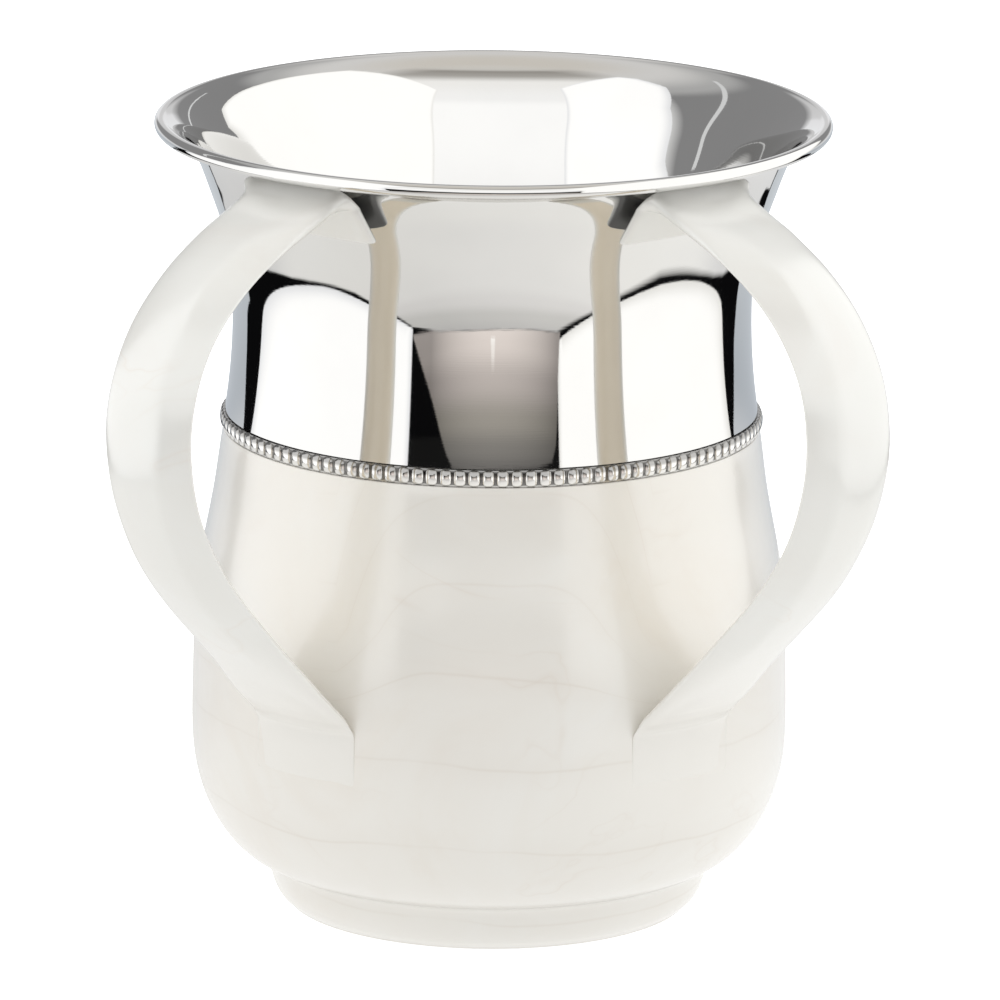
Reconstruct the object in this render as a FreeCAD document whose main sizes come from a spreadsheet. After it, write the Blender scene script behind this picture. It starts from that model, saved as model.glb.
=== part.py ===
import FreeCAD, Part
import Sketcher
import math
import os

# Two-handled ritual washing cup.  Millimetres, +Z up.  The origin is the centre of the flat base.
# The cup is one spun steel sheet on the Z axis.  Both handles are on the -Y side of the cup, in vertical
# planes through the axis, 39 degrees to either side of -Y.

V = FreeCAD.Vector
doc = FreeCAD.newDocument("WashingCup")

# ---------------------------------------------------------------- driving dimensions
sheet = doc.addObject("Spreadsheet::Sheet", "Dims")
value = {}
row = [1]


def dim(alias, number, note=""):
    sheet.set("A%d" % row[0], note or alias.replace("_", " "))
    sheet.set("B%d" % row[0], "%.6g" % number)
    sheet.setAlias("B%d" % row[0], alias)
    value[alias] = float("%.6g" % number)
    row[0] += 1


dim("sheet_gauge", 0.75, "steel sheet thickness")
dim("enamel_gauge", 0.35, "enamel thickness")
dim("enamel_foot_gap", 0.45, "height at which the enamel starts above the base")
dim("ring_low", 85.35, "bead ring lower edge")
dim("ring_high", 88.25, "bead ring upper edge")
dim("ring_seat_radius", 46.15, "bottom of the shallow seat of the ring")
dim("ring_back_radius", 46.35, "back of the bead strip")
dim("ring_web_radius", 46.68, "bottom of the gaps between beads")
dim("ring_front_radius", 47.02, "front of the beads")
dim("bead_count", 120, "number of beads")
dim("bead_gap", 0.34, "gap between beads")
dim("solder_low", 85.75, "solder film lower edge")
dim("solder_high", 87.85, "solder film upper edge")
dim("roll_centre_radius", 57.40, "centre circle of the rim curl")
dim("roll_centre_height", 138.78, "height of the centre of the rim curl")
dim("roll_radius", 1.22, "outer radius of the rim curl")
dim("handle_angle", 39.0, "handle plane from the -Y direction")
dim("tube_wall", 0.60, "wall of the handle tube")
dim("upper_tab_low", 128.15, "lower edge of the upper tab")
dim("upper_tab_radius", 49.60, "back face of the upper tab at its lower edge, from the axis")
dim("upper_tab_lean", 20.6, "lean of the upper tab from the vertical")
dim("upper_fold_radius", 1.30, "mid-line radius of the upper fold")
dim("lower_tab_low", 32.30, "lower edge of the lower tab")
dim("lower_tab_radius", 51.64, "back face of the lower tab, from the axis")
dim("lower_bend_radius", 2.60, "mid-line radius of the lower bend")
dim("tab_corner", 3.0, "corner radius of the tabs")
dim("nugget_radius", 2.40, "spot weld nugget radius")
dim("nugget_depth", 0.60, "nugget depth into the cup sheet")
dim("upper_nugget_rise", 3.1, "upper nugget centre above the tab's lower edge, along the tab")
dim("lower_nugget_rise", 4.6, "lower nugget centre above the tab's lower edge")

# Outline of the finished outer surface: poles of cubic curves, radius and height.
FOOT = [(32.980, 0.000), (34.241, 0.169), (36.897, 1.516), (38.211, 5.328), (38.592, 7.984), (39.660, 8.930)]
BELLY = [(39.660, 8.930), (43.103, 9.867), (47.953, 14.820), (51.744, 24.522), (52.076, 34.726), (51.731, 44.884),
         (51.741, 55.093), (50.015, 65.136), (47.899, 75.089), (47.210, 81.856), (46.660, 85.200)]
NECK = [(46.320, 88.400), (45.964, 90.644), (45.623, 95.172), (45.280, 101.972), (44.746, 108.760),
        (44.970, 115.593), (46.911, 122.189), (49.543, 128.422), (51.604, 135.015), (54.951, 138.344)]
for name, poles in (("foot", FOOT), ("belly", BELLY), ("neck", NECK)):
    for k, (pr, pz) in enumerate(poles):
        dim("%s_radius_%s" % (name, "abcdefghijkl"[k]), pr, "%s outline, pole %d radius" % (name, k + 1))
        dim("%s_height_%s" % (name, "abcdefghijkl"[k]), pz, "%s outline, pole %d height" % (name, k + 1))

# Handle sections along the arch, in the handle's own plane: distance from the axis, height, direction of the
# mid-line in degrees, width and thickness.
ARCH = [(54.30, 134.42, -22.60, 22.50, 1.30),
        (60.30, 132.12, -20.90, 21.70, 2.00),
        (67.83, 129.20, -23.80, 20.40, 2.90),
        (77.26, 124.42, -32.50, 18.80, 3.80),
        (86.53, 116.56, -50.20, 17.80, 4.30),
        (92.14, 105.58, -76.50, 17.40, 4.40),
        (92.25, 93.06, -101.20, 17.40, 4.40),
        (87.61, 80.80, -119.30, 17.40, 4.40),
        (79.87, 70.22, -132.10, 17.40, 4.35),
        (70.50, 60.95, -137.00, 17.60, 4.10),
        (62.28, 53.17, -135.10, 18.60, 3.30),
        (57.13, 47.70, -131.20, 19.80, 2.20),
        (53.07, 42.70, -126.70, 20.50, 1.50)]
for k, st in enumerate(ARCH):
    tag = "abcdefghijklmn"[k]
    for word, number in zip(("reach", "height", "slope", "width", "thick"), st):
        dim("arch_%s_%s" % (word, tag), number, "handle section %d %s" % (k + 1, word))

doc.recompute()


# ---------------------------------------------------------------- small helpers
class Num:
    """A length that carries its value and the sheet expression that drives it."""

    def __init__(self, val, expr):
        self.val, self.expr = val, expr

    def __add__(self, other):
        other = num(other)
        return Num(self.val + other.val, "(%s + %s)" % (self.expr, other.expr))

    def __sub__(self, other):
        other = num(other)
        return Num(self.val - other.val, "(%s - %s)" % (self.expr, other.expr))

    def __mul__(self, factor):
        return Num(self.val * factor, "(%s * %.9f)" % (self.expr, factor))


def num(x):
    return x if isinstance(x, Num) else Num(float(x), "%.9f" % float(x))


def cell(alias):
    return Num(value[alias], "Dims.%s" % alias)


def new_body(name):
    body = doc.addObject("PartDesign::Body", name)
    body.Label = name
    return body


def plane(body, role):
    return [f for f in body.Origin.OriginFeatures if f.Role == role][0]


def new_sketch(body, name, role):
    sk = body.newObject("Sketcher::SketchObject", name)
    sk.AttachmentSupport = [(plane(body, role), "")]
    sk.MapMode = "FlatFace"
    return sk


class Pen:
    """Draws a closed, fully dimensioned outline in a sketch.  A point is (Num, Num)."""

    def __init__(self, sk):
        self.sk = sk
        self.first = None
        self.last = None

    def con(self, *args):
        return self.sk.addConstraint(Sketcher.Constraint(*args))

    def pin(self, geo, pos, pt):
        for kind, n in (("DistanceX", pt[0]), ("DistanceY", pt[1])):
            if abs(n.val) < 1e-9:
                self.con("PointOnObject", geo, pos, -2 if kind == "DistanceX" else -1)
            else:
                c = self.con(kind, -1, 1, geo, pos, n.val)
                self.sk.setExpression("Constraints[%d]" % c, n.expr)

    def line(self, a, b, pin_end=True):
        g = self.sk.addGeometry(Part.LineSegment(V(a[0].val, a[1].val, 0), V(b[0].val, b[1].val, 0)), False)
        self.join(g, 1, a)
        if pin_end:
            self.pin(g, 2, b)
        self.last = (g, 2)
        return g

    def join(self, g, pos, pt):
        if self.last is None:
            self.first = (g, pos)
            self.pin(g, pos, pt)
        else:
            self.con("Coincident", self.last[0], self.last[1], g, pos)

    def spline(self, pts):
        poles = [V(p[0].val, p[1].val, 0) for p in pts]
        g = self.sk.addGeometry(Part.BSplineCurve(poles, None, None, False, 3, None, False), False)
        c0 = None
        for k, p in enumerate(pts):
            c = self.sk.addGeometry(Part.Circle(poles[k], V(0, 0, 1), 0.4), True)
            if c0 is None:
                c0 = c
                self.con("Weight", c, 1.0)
            else:
                self.con("Equal", c0, c)
            self.con("InternalAlignment:Sketcher::BSplineControlPoint", c, 3, g, k)
            if k:
                self.pin(c, 3, p)
        self.join(g, 1, pts[0])
        self.last = (g, 2)
        return g

    def close(self):
        self.con("Coincident", self.last[0], self.last[1], self.first[0], self.first[1])

    def close_line(self):
        a = self.sk.getPoint(*self.last)
        b = self.sk.getPoint(*self.first)
        g = self.sk.addGeometry(Part.LineSegment(V(a.x, a.y, 0), V(b.x, b.y, 0)), False)
        self.con("Coincident", self.last[0], self.last[1], g, 1)
        self.con("Coincident", g, 2, self.first[0], self.first[1])


def revolve(body, sk):
    f = body.newObject("PartDesign::Revolution", body.Name + "_turn")
    f.Profile = sk
    f.ReferenceAxis = (sk, ["V_Axis"])
    f.Angle = 360
    sk.Visibility = False
    return f


def normals(poles, start=None, end=None):
    """Unit normals to the left of the travel direction at each pole."""
    out = []
    for k in range(len(poles)):
        a = poles[max(k - 1, 0)]
        b = poles[min(k + 1, len(poles) - 1)]
        dx, dz = b[0] - a[0], b[1] - a[1]
        length = math.hypot(dx, dz)
        out.append((-dz / length, dx / length))
    if start:
        out[0] = start
    if end:
        out[-1] = end
    return out


def corner(before, at, after):
    """Mitre normal at a corner, so that both offset legs keep their distance."""
    n = []
    for a, b in ((before, at), (at, after)):
        dx, dz = b[0] - a[0], b[1] - a[1]
        length = math.hypot(dx, dz)
        n.append((-dz / length, dx / length))
    sx, sz = n[0][0] + n[1][0], n[0][1] + n[1][1]
    k = 2.0 / (sx * sx + sz * sz)
    return (sx * k, sz * k)


def outline(name, poles, norm, depth):
    """Poles of a named outline moved inwards by a sheet-driven depth."""
    pts = []
    for k in range(len(poles)):
        tag = "abcdefghijkl"[k]
        pr, pz = cell("%s_radius_%s" % (name, tag)), cell("%s_height_%s" % (name, tag))
        if depth is not None:
            pr, pz = pr + depth * norm[k][0], pz + depth * norm[k][1]
        pts.append((pr, pz))
    return pts


ZERO = num(0)
step = corner(FOOT[-2], FOOT[-1], BELLY[1])
foot_n = normals(FOOT, start=(-1.0, 0.0), end=step)
belly_n = normals(BELLY, start=step, end=(-1.0, 0.0))

# The neck ends tangent to the curl, 125 degrees round from the outward direction.
CURL_ON, CURL_OFF = math.radians(125.0), math.radians(-155.0)
roll_r, roll_z = cell("roll_centre_radius"), cell("roll_centre_height")
bore = cell("roll_radius") - cell("sheet_gauge")


def on_curl(radius, angle):
    return (roll_r + radius * math.cos(angle), roll_z + radius * math.sin(angle))


tangent_n = (math.cos(CURL_ON), math.sin(CURL_ON))
neck_n = normals(NECK + [tuple(n.val for n in on_curl(bore, CURL_ON))], start=(-1.0, 0.0), end=tangent_n)
gauge, glaze = cell("sheet_gauge"), cell("enamel_gauge")
both = gauge + glaze

# ---------------------------------------------------------------- the cup sheet
shell_form = new_body("cup_shell_form")
sk = new_sketch(shell_form, "cup_shell_outline", "XZ_Plane")
pen = Pen(sk)
foot_steel = outline("foot", FOOT, foot_n, glaze)
foot_steel[0] = (foot_steel[0][0], ZERO)
belly_steel = outline("belly", BELLY, belly_n, glaze)
neck_steel = outline("neck", NECK, neck_n, None) + [on_curl(bore, CURL_ON)]
seat = cell("ring_seat_radius")
pen.line((ZERO, ZERO), foot_steel[0])
pen.spline(foot_steel)
pen.spline(belly_steel)
pen.line(belly_steel[-1], (seat, cell("ring_low")))
pen.line((seat, cell("ring_low")), (seat, cell("ring_high")))
pen.line((seat, cell("ring_high")), neck_steel[0])
pen.spline(neck_steel)
# curl: inner face, cut edge, outer face, about one centre
inner = sk.addGeometry(Part.ArcOfCircle(Part.Circle(V(roll_r.val, roll_z.val, 0), V(0, 0, 1), bore.val),
                                        CURL_OFF, CURL_ON), False)
pen.con("Coincident", pen.last[0], pen.last[1], inner, 2)
pen.pin(inner, 3, (roll_r, roll_z))
outer_on = on_curl(cell("roll_radius"), CURL_ON)
outer = sk.addGeometry(Part.ArcOfCircle(Part.Circle(V(roll_r.val, roll_z.val, 0), V(0, 0, 1), value["roll_radius"]),
                                        CURL_OFF, CURL_ON), False)
pen.con("Coincident", inner, 3, outer, 3)
off_in, off_out = on_curl(bore, CURL_OFF), on_curl(cell("roll_radius"), CURL_OFF)
edge = sk.addGeometry(Part.LineSegment(V(off_in[0].val, off_in[1].val, 0), V(off_out[0].val, off_out[1].val, 0)), False)
pen.con("Coincident", inner, 1, edge, 1)
pen.con("Coincident", edge, 2, outer, 1)
for pos, n in ((1, off_in[0]), (2, off_out[0])):
    c = pen.con("DistanceX", -1, 1, edge, pos, n.val)
    sk.setExpression("Constraints[%d]" % c, n.expr)
pen.last = (outer, 2)
neck_inner = outline("neck", NECK, neck_n, gauge) + [outer_on]
belly_inner = outline("belly", BELLY, belly_n, both)
foot_inner = outline("foot", FOOT, foot_n, both)
foot_inner[0] = (foot_inner[0][0], gauge)
foot_inner[1] = (foot_inner[1][0], gauge + 0.25)
pen.spline(neck_inner[::-1])
pen.line(neck_inner[0], belly_inner[-1])
pen.spline(belly_inner[::-1])
pen.spline(foot_inner[::-1])
pen.line(foot_inner[0], (ZERO, gauge))
pen.close_line()
revolve(shell_form, sk)

# ---------------------------------------------------------------- the enamel coat of belly and foot
glaze_form = new_body("body_enamel_form")
sk = new_sketch(glaze_form, "body_enamel_outline", "XZ_Plane")
pen = Pen(sk)
foot_out = outline("foot", FOOT, foot_n, None)
belly_out = outline("belly", BELLY, belly_n, None)
pen.line((ZERO, ZERO), foot_out[0])
pen.spline(foot_out)
pen.spline(belly_out)
pen.line(belly_out[-1], (ZERO, belly_out[-1][1]))
pen.close_line()
revolve(glaze_form, sk)

steel_form = new_body("steel_core_form")
sk = new_sketch(steel_form, "steel_core_outline", "XZ_Plane")
pen = Pen(sk)
top = cell("ring_high")
pen.line((ZERO, ZERO), foot_steel[0])
pen.spline(foot_steel)
pen.spline(belly_steel)
pen.line(belly_steel[-1], (belly_steel[-1][0], top))
pen.line((belly_steel[-1][0], top), (ZERO, top))
pen.close_line()
revolve(steel_form, sk)

# ---------------------------------------------------------------- bead ring and its solder film
ring = new_body("beaded_ring")
sk = new_sketch(ring, "ring_section", "XZ_Plane")
pen = Pen(sk)
r_back, r_front = cell("ring_back_radius"), cell("ring_front_radius")
z_low, z_high = cell("ring_low") + 0.03, cell("ring_high") - 0.03
mid = (cell("ring_low") + cell("ring_high")) * 0.5
pen.line((r_back, z_low), (cell("ring_web_radius"), z_low))
pen.spline([(cell("ring_web_radius"), z_low), (r_front, z_low), (r_front + 0.0, mid - 0.5), (r_front, mid + 0.5),
            (r_front, z_high), (cell("ring_web_radius"), z_high)])
pen.line((cell("ring_web_radius"), z_high), (r_back, z_high))
pen.close_line()
revolve(ring, sk)
doc.recompute()
sk = new_sketch(ring, "bead_gap_outline", "XY_Plane")
pen = Pen(sk)
half = cell("bead_gap") * 0.5
web, far = cell("ring_web_radius"), cell("ring_front_radius") + 0.6
pen.line((web, half * -1.0), (far, half * -1.6))
pen.line((far, half * -1.6), (far, half * 1.6))
pen.line((far, half * 1.6), (web, half))
pen.close_line()
gap = ring.newObject("PartDesign::Pocket", "bead_gap_cut")
gap.Profile = sk
gap.Type = "ThroughAll"
gap.Midplane = True
sk.Visibility = False
doc.recompute()
beads = ring.newObject("PartDesign::PolarPattern", "bead_pattern")
beads.Originals = [gap]
beads.Axis = ([f for f in ring.Origin.OriginFeatures if f.Role == "Z_Axis"][0], [""])
beads.Angle = 360
beads.setExpression("Occurrences", "Dims.bead_count")
ring.Tip = beads

solder = new_body("ring_solder")
sk = new_sketch(solder, "solder_section", "XZ_Plane")
pen = Pen(sk)
pen.line((seat, cell("solder_low")), (r_back, cell("solder_low")))
pen.line((r_back, cell("solder_low")), (r_back, cell("solder_high")))
pen.line((r_back, cell("solder_high")), (seat, cell("solder_high")))
pen.close_line()
revolve(solder, sk)


# ---------------------------------------------------------------- the handle, in its own plane (X outwards)
def stadium(body, name, k, grow_w, grow_t):
    """Flat-oval section k of the arch, square to the mid-line."""
    tag = "abcdefghijklmn"[k]
    sk = new_sketch(body, name, "YZ_Plane")
    sk.AttachmentOffset = FreeCAD.Placement(
        V(0, value["arch_height_" + tag], value["arch_reach_" + tag]),
        FreeCAD.Rotation(V(1, 0, 0), -value["arch_slope_" + tag]))
    sk.setExpression("AttachmentOffset.Base.y", "Dims.arch_height_" + tag)
    sk.setExpression("AttachmentOffset.Base.z", "Dims.arch_reach_" + tag)
    sk.setExpression("AttachmentOffset.Rotation.Angle", "-Dims.arch_slope_" + tag)
    wide = cell("arch_width_" + tag) + grow_w
    thick = cell("arch_thick_" + tag) + grow_t
    r = thick * 0.5
    c = (wide - thick) * 0.5
    rv, cv = r.val, c.val
    top_line = sk.addGeometry(Part.LineSegment(V(cv, rv, 0), V(-cv, rv, 0)), False)
    left = sk.addGeometry(Part.ArcOfCircle(Part.Circle(V(-cv, 0, 0), V(0, 0, 1), rv), math.pi / 2, 1.5 * math.pi), False)
    low_line = sk.addGeometry(Part.LineSegment(V(-cv, -rv, 0), V(cv, -rv, 0)), False)
    right = sk.addGeometry(Part.ArcOfCircle(Part.Circle(V(cv, 0, 0), V(0, 0, 1), rv), -math.pi / 2, math.pi / 2), False)

    def con(*a):
        return sk.addConstraint(Sketcher.Constraint(*a))

    con("Tangent", top_line, 2, left, 1)
    con("Tangent", left, 2, low_line, 1)
    con("Tangent", low_line, 2, right, 1)
    con("Tangent", right, 2, top_line, 1)
    con("PointOnObject", left, 3, -1)
    con("Symmetric", left, 3, right, 3, -1, 1)
    con("Horizontal", top_line)
    i = con("DistanceX", -1, 1, right, 3, cv)
    sk.setExpression("Constraints[%d]" % i, c.expr)
    i = con("Radius", right, rv)
    sk.setExpression("Constraints[%d]" % i, r.expr)
    return sk


def arch(body, first, last, grow_w, grow_t):
    sks = [stadium(body, "%s_section_%d" % (body.Name, k + 1), k, grow_w, grow_t) for k in range(first, last + 1)]
    loft = body.newObject("PartDesign::AdditiveLoft", body.Name + "_arch")
    loft.Profile = sks[0]
    loft.Sections = sks[1:]
    loft.Ruled = False
    loft.Closed = False
    for s in sks:
        s.Visibility = False
    return loft


def rad(a):
    return math.radians(a)


def strip(body, name, pts, width, corner_radius, corner_at):
    """A bent strip: a closed side outline of points (line) and bulges (arc), padded symmetrically."""
    sk = new_sketch(body, name, "XZ_Plane")

    def con(*a):
        return sk.addConstraint(Sketcher.Constraint(*a))

    geo = []
    for item in pts:
        if item[0] == "line":
            geo.append((sk.addGeometry(Part.LineSegment(V(item[1][0], item[1][1], 0), V(item[2][0], item[2][1], 0)), False), 1, 2))
        else:
            _, c, r, a0, a1, forward = item
            g = sk.addGeometry(Part.ArcOfCircle(Part.Circle(V(c[0], c[1], 0), V(0, 0, 1), r), a0, a1), False)
            geo.append((g, 1, 2) if forward else (g, 2, 1))
    for k in range(len(geo)):
        g, _, e = geo[k]
        h, s, _ = geo[(k + 1) % len(geo)]
        con("Coincident", g, e, h, s)
    for g, s, e in geo:
        con("Block", g)
    pad = body.newObject("PartDesign::Pad", name + "_pad")
    pad.Profile = sk
    pad.Midplane = True
    pad.setExpression("Length", width.expr)
    sk.Visibility = False
    doc.recompute()
    edges = []
    for i, e in enumerate(pad.Shape.Edges):
        c = e.CenterOfMass
        if len(e.Vertexes) == 2 and abs(abs(c.y) - width.val / 2) < 1e-3 and math.hypot(c.x - corner_at[0], c.z - corner_at[1]) < 0.6:
            edges.append("Edge%d" % (i + 1))
    if len(edges) == 2:
        f = body.newObject("PartDesign::Fillet", name + "_corners")
        f.Base = (pad, edges)
        f.setExpression("Radius", corner_radius.expr)
    else:
        raise RuntimeError("%s: %d corner edges found" % (name, len(edges)))
    return pad


def upper_strip_outline(grow):
    """Flat tab on the neck, acute fold, and a short run into the arch.  The back face stays on the neck."""
    t0 = value["arch_thick_a"]
    lean = rad(90.0 - value["upper_tab_lean"])
    a = rad(value["arch_slope_a"])
    d0, n0 = (math.cos(lean), math.sin(lean)), (math.sin(lean), -math.cos(lean))
    d1, n1 = (math.cos(a), math.sin(a)), (math.sin(a), -math.cos(a))
    p_back = (value["upper_tab_radius"], value["upper_tab_low"])
    p0 = (p_back[0] + n0[0] * t0 / 2, p_back[1] + n0[1] * t0 / 2)
    p1 = (value["arch_reach_a"], value["arch_height_a"])
    rm = value["upper_fold_radius"]
    k0 = p0[0] * n0[0] + p0[1] * n0[1] + rm
    k1 = p1[0] * n1[0] + p1[1] * n1[1] + rm
    det = n0[0] * n1[1] - n0[1] * n1[0]
    c = ((k0 * n1[1] - k1 * n0[1]) / det, (n0[0] * k1 - n1[0] * k0) / det)
    ro, ri = rm + t0 / 2, rm - t0 / 2 - grow
    a0 = math.atan2(-n0[1], -n0[0])
    a1 = math.atan2(-n1[1], -n1[0])
    ro2 = ro + grow

    def at(p, n, off):
        return (p[0] - n[0] * off, p[1] - n[1] * off)

    # along the arch the coat is on both faces; on the tab only on the front, edges and fold
    low = p0[0] - d0[0] * grow, p0[1] - d0[1] * grow
    back_low = at(low, n0, t0 / 2)
    front_low = at(low, n0, -t0 / 2 - grow)
    foot0 = (c[0] - n0[0] * rm, c[1] - n0[1] * rm)
    foot1 = (c[0] - n1[0] * rm, c[1] - n1[1] * rm)
    end_out, end_in = at(p1, n1, t0 / 2 + grow), at(p1, n1, -t0 / 2 - grow)
    fold_in0, fold_in1 = at(foot0, n0, -t0 / 2 - grow), at(foot1, n1, -t0 / 2 - grow)
    fold_out0, fold_out1 = at(foot0, n0, t0 / 2), at(foot1, n1, t0 / 2 + grow)
    items = [("line", back_low, fold_out0)]
    if grow:
        items.append(("line", fold_out0, at(foot0, n0, t0 / 2 + grow)))
    items += [("arc", c, ro2, a1, a0, False),
              ("line", fold_out1, end_out), ("line", end_out, end_in), ("line", end_in, fold_in1),
              ("arc", c, ri, a1, a0, True),
              ("line", fold_in0, front_low), ("line", front_low, back_low)]
    return items, p_back, d0, n0, low


def lower_strip_outline(grow):
    """Short run out of the arch, obtuse bend, and a flat tab on the belly."""
    t0 = value["arch_thick_m"]
    a = rad(value["arch_slope_m"])
    d1 = (math.cos(a), math.sin(a))
    n1 = (-math.sin(a), math.cos(a))            # left of travel: towards the inside of the bend
    d2, n2 = (0.0, -1.0), (1.0, 0.0)
    p1 = (value["arch_reach_m"], value["arch_height_m"])
    line_s = value["lower_tab_radius"] + t0 / 2
    rm = value["lower_bend_radius"]
    # centre on the outer (right) side of the tab line, rm away from both mid-lines
    cx = line_s + rm
    k1 = p1[0] * (-n1[0]) + p1[1] * (-n1[1])
    m1 = (math.sin(a) * -1.0, math.cos(a))      # left normal of travel
    # (C - P1).m1 = rm
    cz = (rm + p1[0] * m1[0] + p1[1] * m1[1] - cx * m1[0]) / m1[1]
    c = (cx, cz)
    foot1 = (c[0] - m1[0] * rm, c[1] - m1[1] * rm)
    foot2 = (c[0] - rm, c[1])
    low = value["lower_tab_low"] - grow
    ro, ri = rm + t0 / 2, rm - t0 / 2 - grow
    a1 = math.atan2(-m1[1], -m1[0])
    a2 = math.pi
    if a1 < 0:
        a1 += 2 * math.pi

    def at(p, n, off):
        return (p[0] + n[0] * off, p[1] + n[1] * off)

    start_back = at(p1, m1, -t0 / 2 - grow)
    start_front = at(p1, m1, t0 / 2 + grow)
    back1 = at(foot1, m1, -t0 / 2 - grow)
    front1 = at(foot1, m1, t0 / 2 + grow)
    back2 = (foot2[0] - t0 / 2, foot2[1])
    front2 = (foot2[0] + t0 / 2 + grow, foot2[1])
    items = [("line", start_front, start_back), ("line", start_back, back1),
             ("arc", c, ro + grow, min(a1, a2), max(a1, a2), a2 > a1)]
    if grow:
        items.append(("line", (foot2[0] - t0 / 2 - grow, foot2[1]), back2))
    items += [("line", back2, (back2[0], low)), ("line", (back2[0], low), (front2[0], low)),
              ("line", (front2[0], low), front2),
              ("arc", c, ri, min(a1, a2), max(a1, a2), a2 < a1),
              ("line", front1, start_front)]
    return items, (value["lower_tab_radius"], value["lower_tab_low"])


def handle_form(name, grow):
    body = new_body(name)
    g2 = glaze * (2.0 if grow else 0.0)
    gv = value["enamel_gauge"] if grow else 0.0
    arch(body, 0, 12, g2, g2)
    doc.recompute()
    items, p_back, d0, n0, low = upper_strip_outline(gv)
    t0 = value["arch_thick_a"]
    corner_mid = (low[0] + n0[0] * (gv / 2), low[1] + n0[1] * (gv / 2))
    strip(body, name + "_upper", items, cell("arch_width_a") + g2, cell("tab_corner"), corner_mid)
    items, back = lower_strip_outline(gv)
    t1 = value["arch_thick_m"]
    corner_mid = (back[0] + (t1 + gv) / 2, back[1] - gv)
    strip(body, name + "_lower", items, cell("arch_width_m") + g2, cell("tab_corner"), corner_mid)
    return body


steel_handle = handle_form("handle_form", False)
coat_handle = handle_form("handle_coat_form", True)

# the hollow of the flattened tube
core = new_body("handle_hollow")
arch(core, 1, 11, cell("tube_wall") * -2.0, cell("tube_wall") * -2.0)
doc.recompute()

# ---------------------------------------------------------------- spot welds
lean = rad(90.0 - value["upper_tab_lean"])
up_dir = (math.cos(lean), math.sin(lean))
up_out = (math.sin(lean), -math.cos(lean))


def nugget(name, low_r, low_z, along, outward, rise, thick, side):
    """A short cylinder from inside the cup sheet to the front face of the tab."""
    cyl = doc.addObject("Part::Cylinder", name)
    depth = value["nugget_depth"]
    r = low_r + along[0] * rise - outward[0] * depth
    z = low_z + along[1] * rise - outward[1] * depth
    turn = FreeCAD.Rotation(V(0, 0, 1), -90.0 + side * value["handle_angle"])
    axis = turn.multVec(V(outward[0], 0, outward[1]))
    base = turn.multVec(V(r, 0, z))
    cyl.Placement = FreeCAD.Placement(base, FreeCAD.Rotation(V(0, 0, 1), axis))
    cyl.setExpression("Radius", "Dims.nugget_radius")
    cyl.setExpression("Height", "Dims.nugget_depth + Dims.%s" % thick)
    return cyl


nug = {}
for side, word in ((-1, "left"), (1, "right")):
    nug["u" + word] = nugget("upper_nugget_" + word, value["upper_tab_radius"], value["upper_tab_low"], up_dir, up_out,
                             value["upper_nugget_rise"], "arch_thick_a", side)
    nug["l" + word] = nugget("lower_nugget_" + word, value["lower_tab_radius"], value["lower_tab_low"], (0, 1), (1, 0),
                             value["lower_nugget_rise"], "arch_thick_m", side)

upper_welds = doc.addObject("Part::Compound", "upper_spot_welds")
upper_welds.Links = [nug["uleft"], nug["uright"]]
lower_welds = doc.addObject("Part::Compound", "lower_spot_welds")
lower_welds.Links = [nug["lleft"], nug["lright"]]
doc.recompute()

# cup sheet with the four nugget seats
seats = doc.addObject("Part::Compound", "nugget_seats")
seats.Links = [nug["uleft"], nug["uright"], nug["lleft"], nug["lright"]]
cup_shell = doc.addObject("Part::Cut", "cup_shell")
cup_shell.Base, cup_shell.Tool = shell_form, seats

# each handle: flattened tube, hollow inside, with the two nugget seats in its tabs
subparts = {}
for side, word in ((-1, "left"), (1, "right")):
    turn = FreeCAD.Placement(V(0, 0, 0), FreeCAD.Rotation(V(0, 0, 1), -90.0 + side * value["handle_angle"]))
    hollow = doc.addObject("Part::Cut", word + "_handle_tube")
    hollow.Base, hollow.Tool = steel_handle, core
    hollow.Placement = turn
    hollow.setExpression("Placement.Rotation.Angle", "%s" % ("90 + Dims.handle_angle" if side < 0 else "90 - Dims.handle_angle"))
    hollow.Placement = FreeCAD.Placement(V(0, 0, 0), FreeCAD.Rotation(V(0, 0, -1), 90.0 - side * value["handle_angle"]))
    pair = doc.addObject("Part::Compound", word + "_handle_seats")
    pair.Links = [nug["u" + word], nug["l" + word]]
    part = doc.addObject("Part::Cut", word + "_handle")
    part.Base, part.Tool = hollow, pair
    subparts[word + "_handle"] = part

    coat = doc.addObject("Part::Cut", word + "_coat_raw")
    coat.Base, coat.Tool = coat_handle, steel_handle
    coat.Placement = FreeCAD.Placement(V(0, 0, 0), FreeCAD.Rotation(V(0, 0, -1), 90.0 - side * value["handle_angle"]))
    coat.setExpression("Placement.Rotation.Angle", "%s" % ("90 + Dims.handle_angle" if side < 0 else "90 - Dims.handle_angle"))
    trimmed = doc.addObject("Part::Cut", word + "_handle_enamel")
    trimmed.Base, trimmed.Tool = coat, shell_form
    subparts[word + "_handle_enamel"] = trimmed

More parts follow.
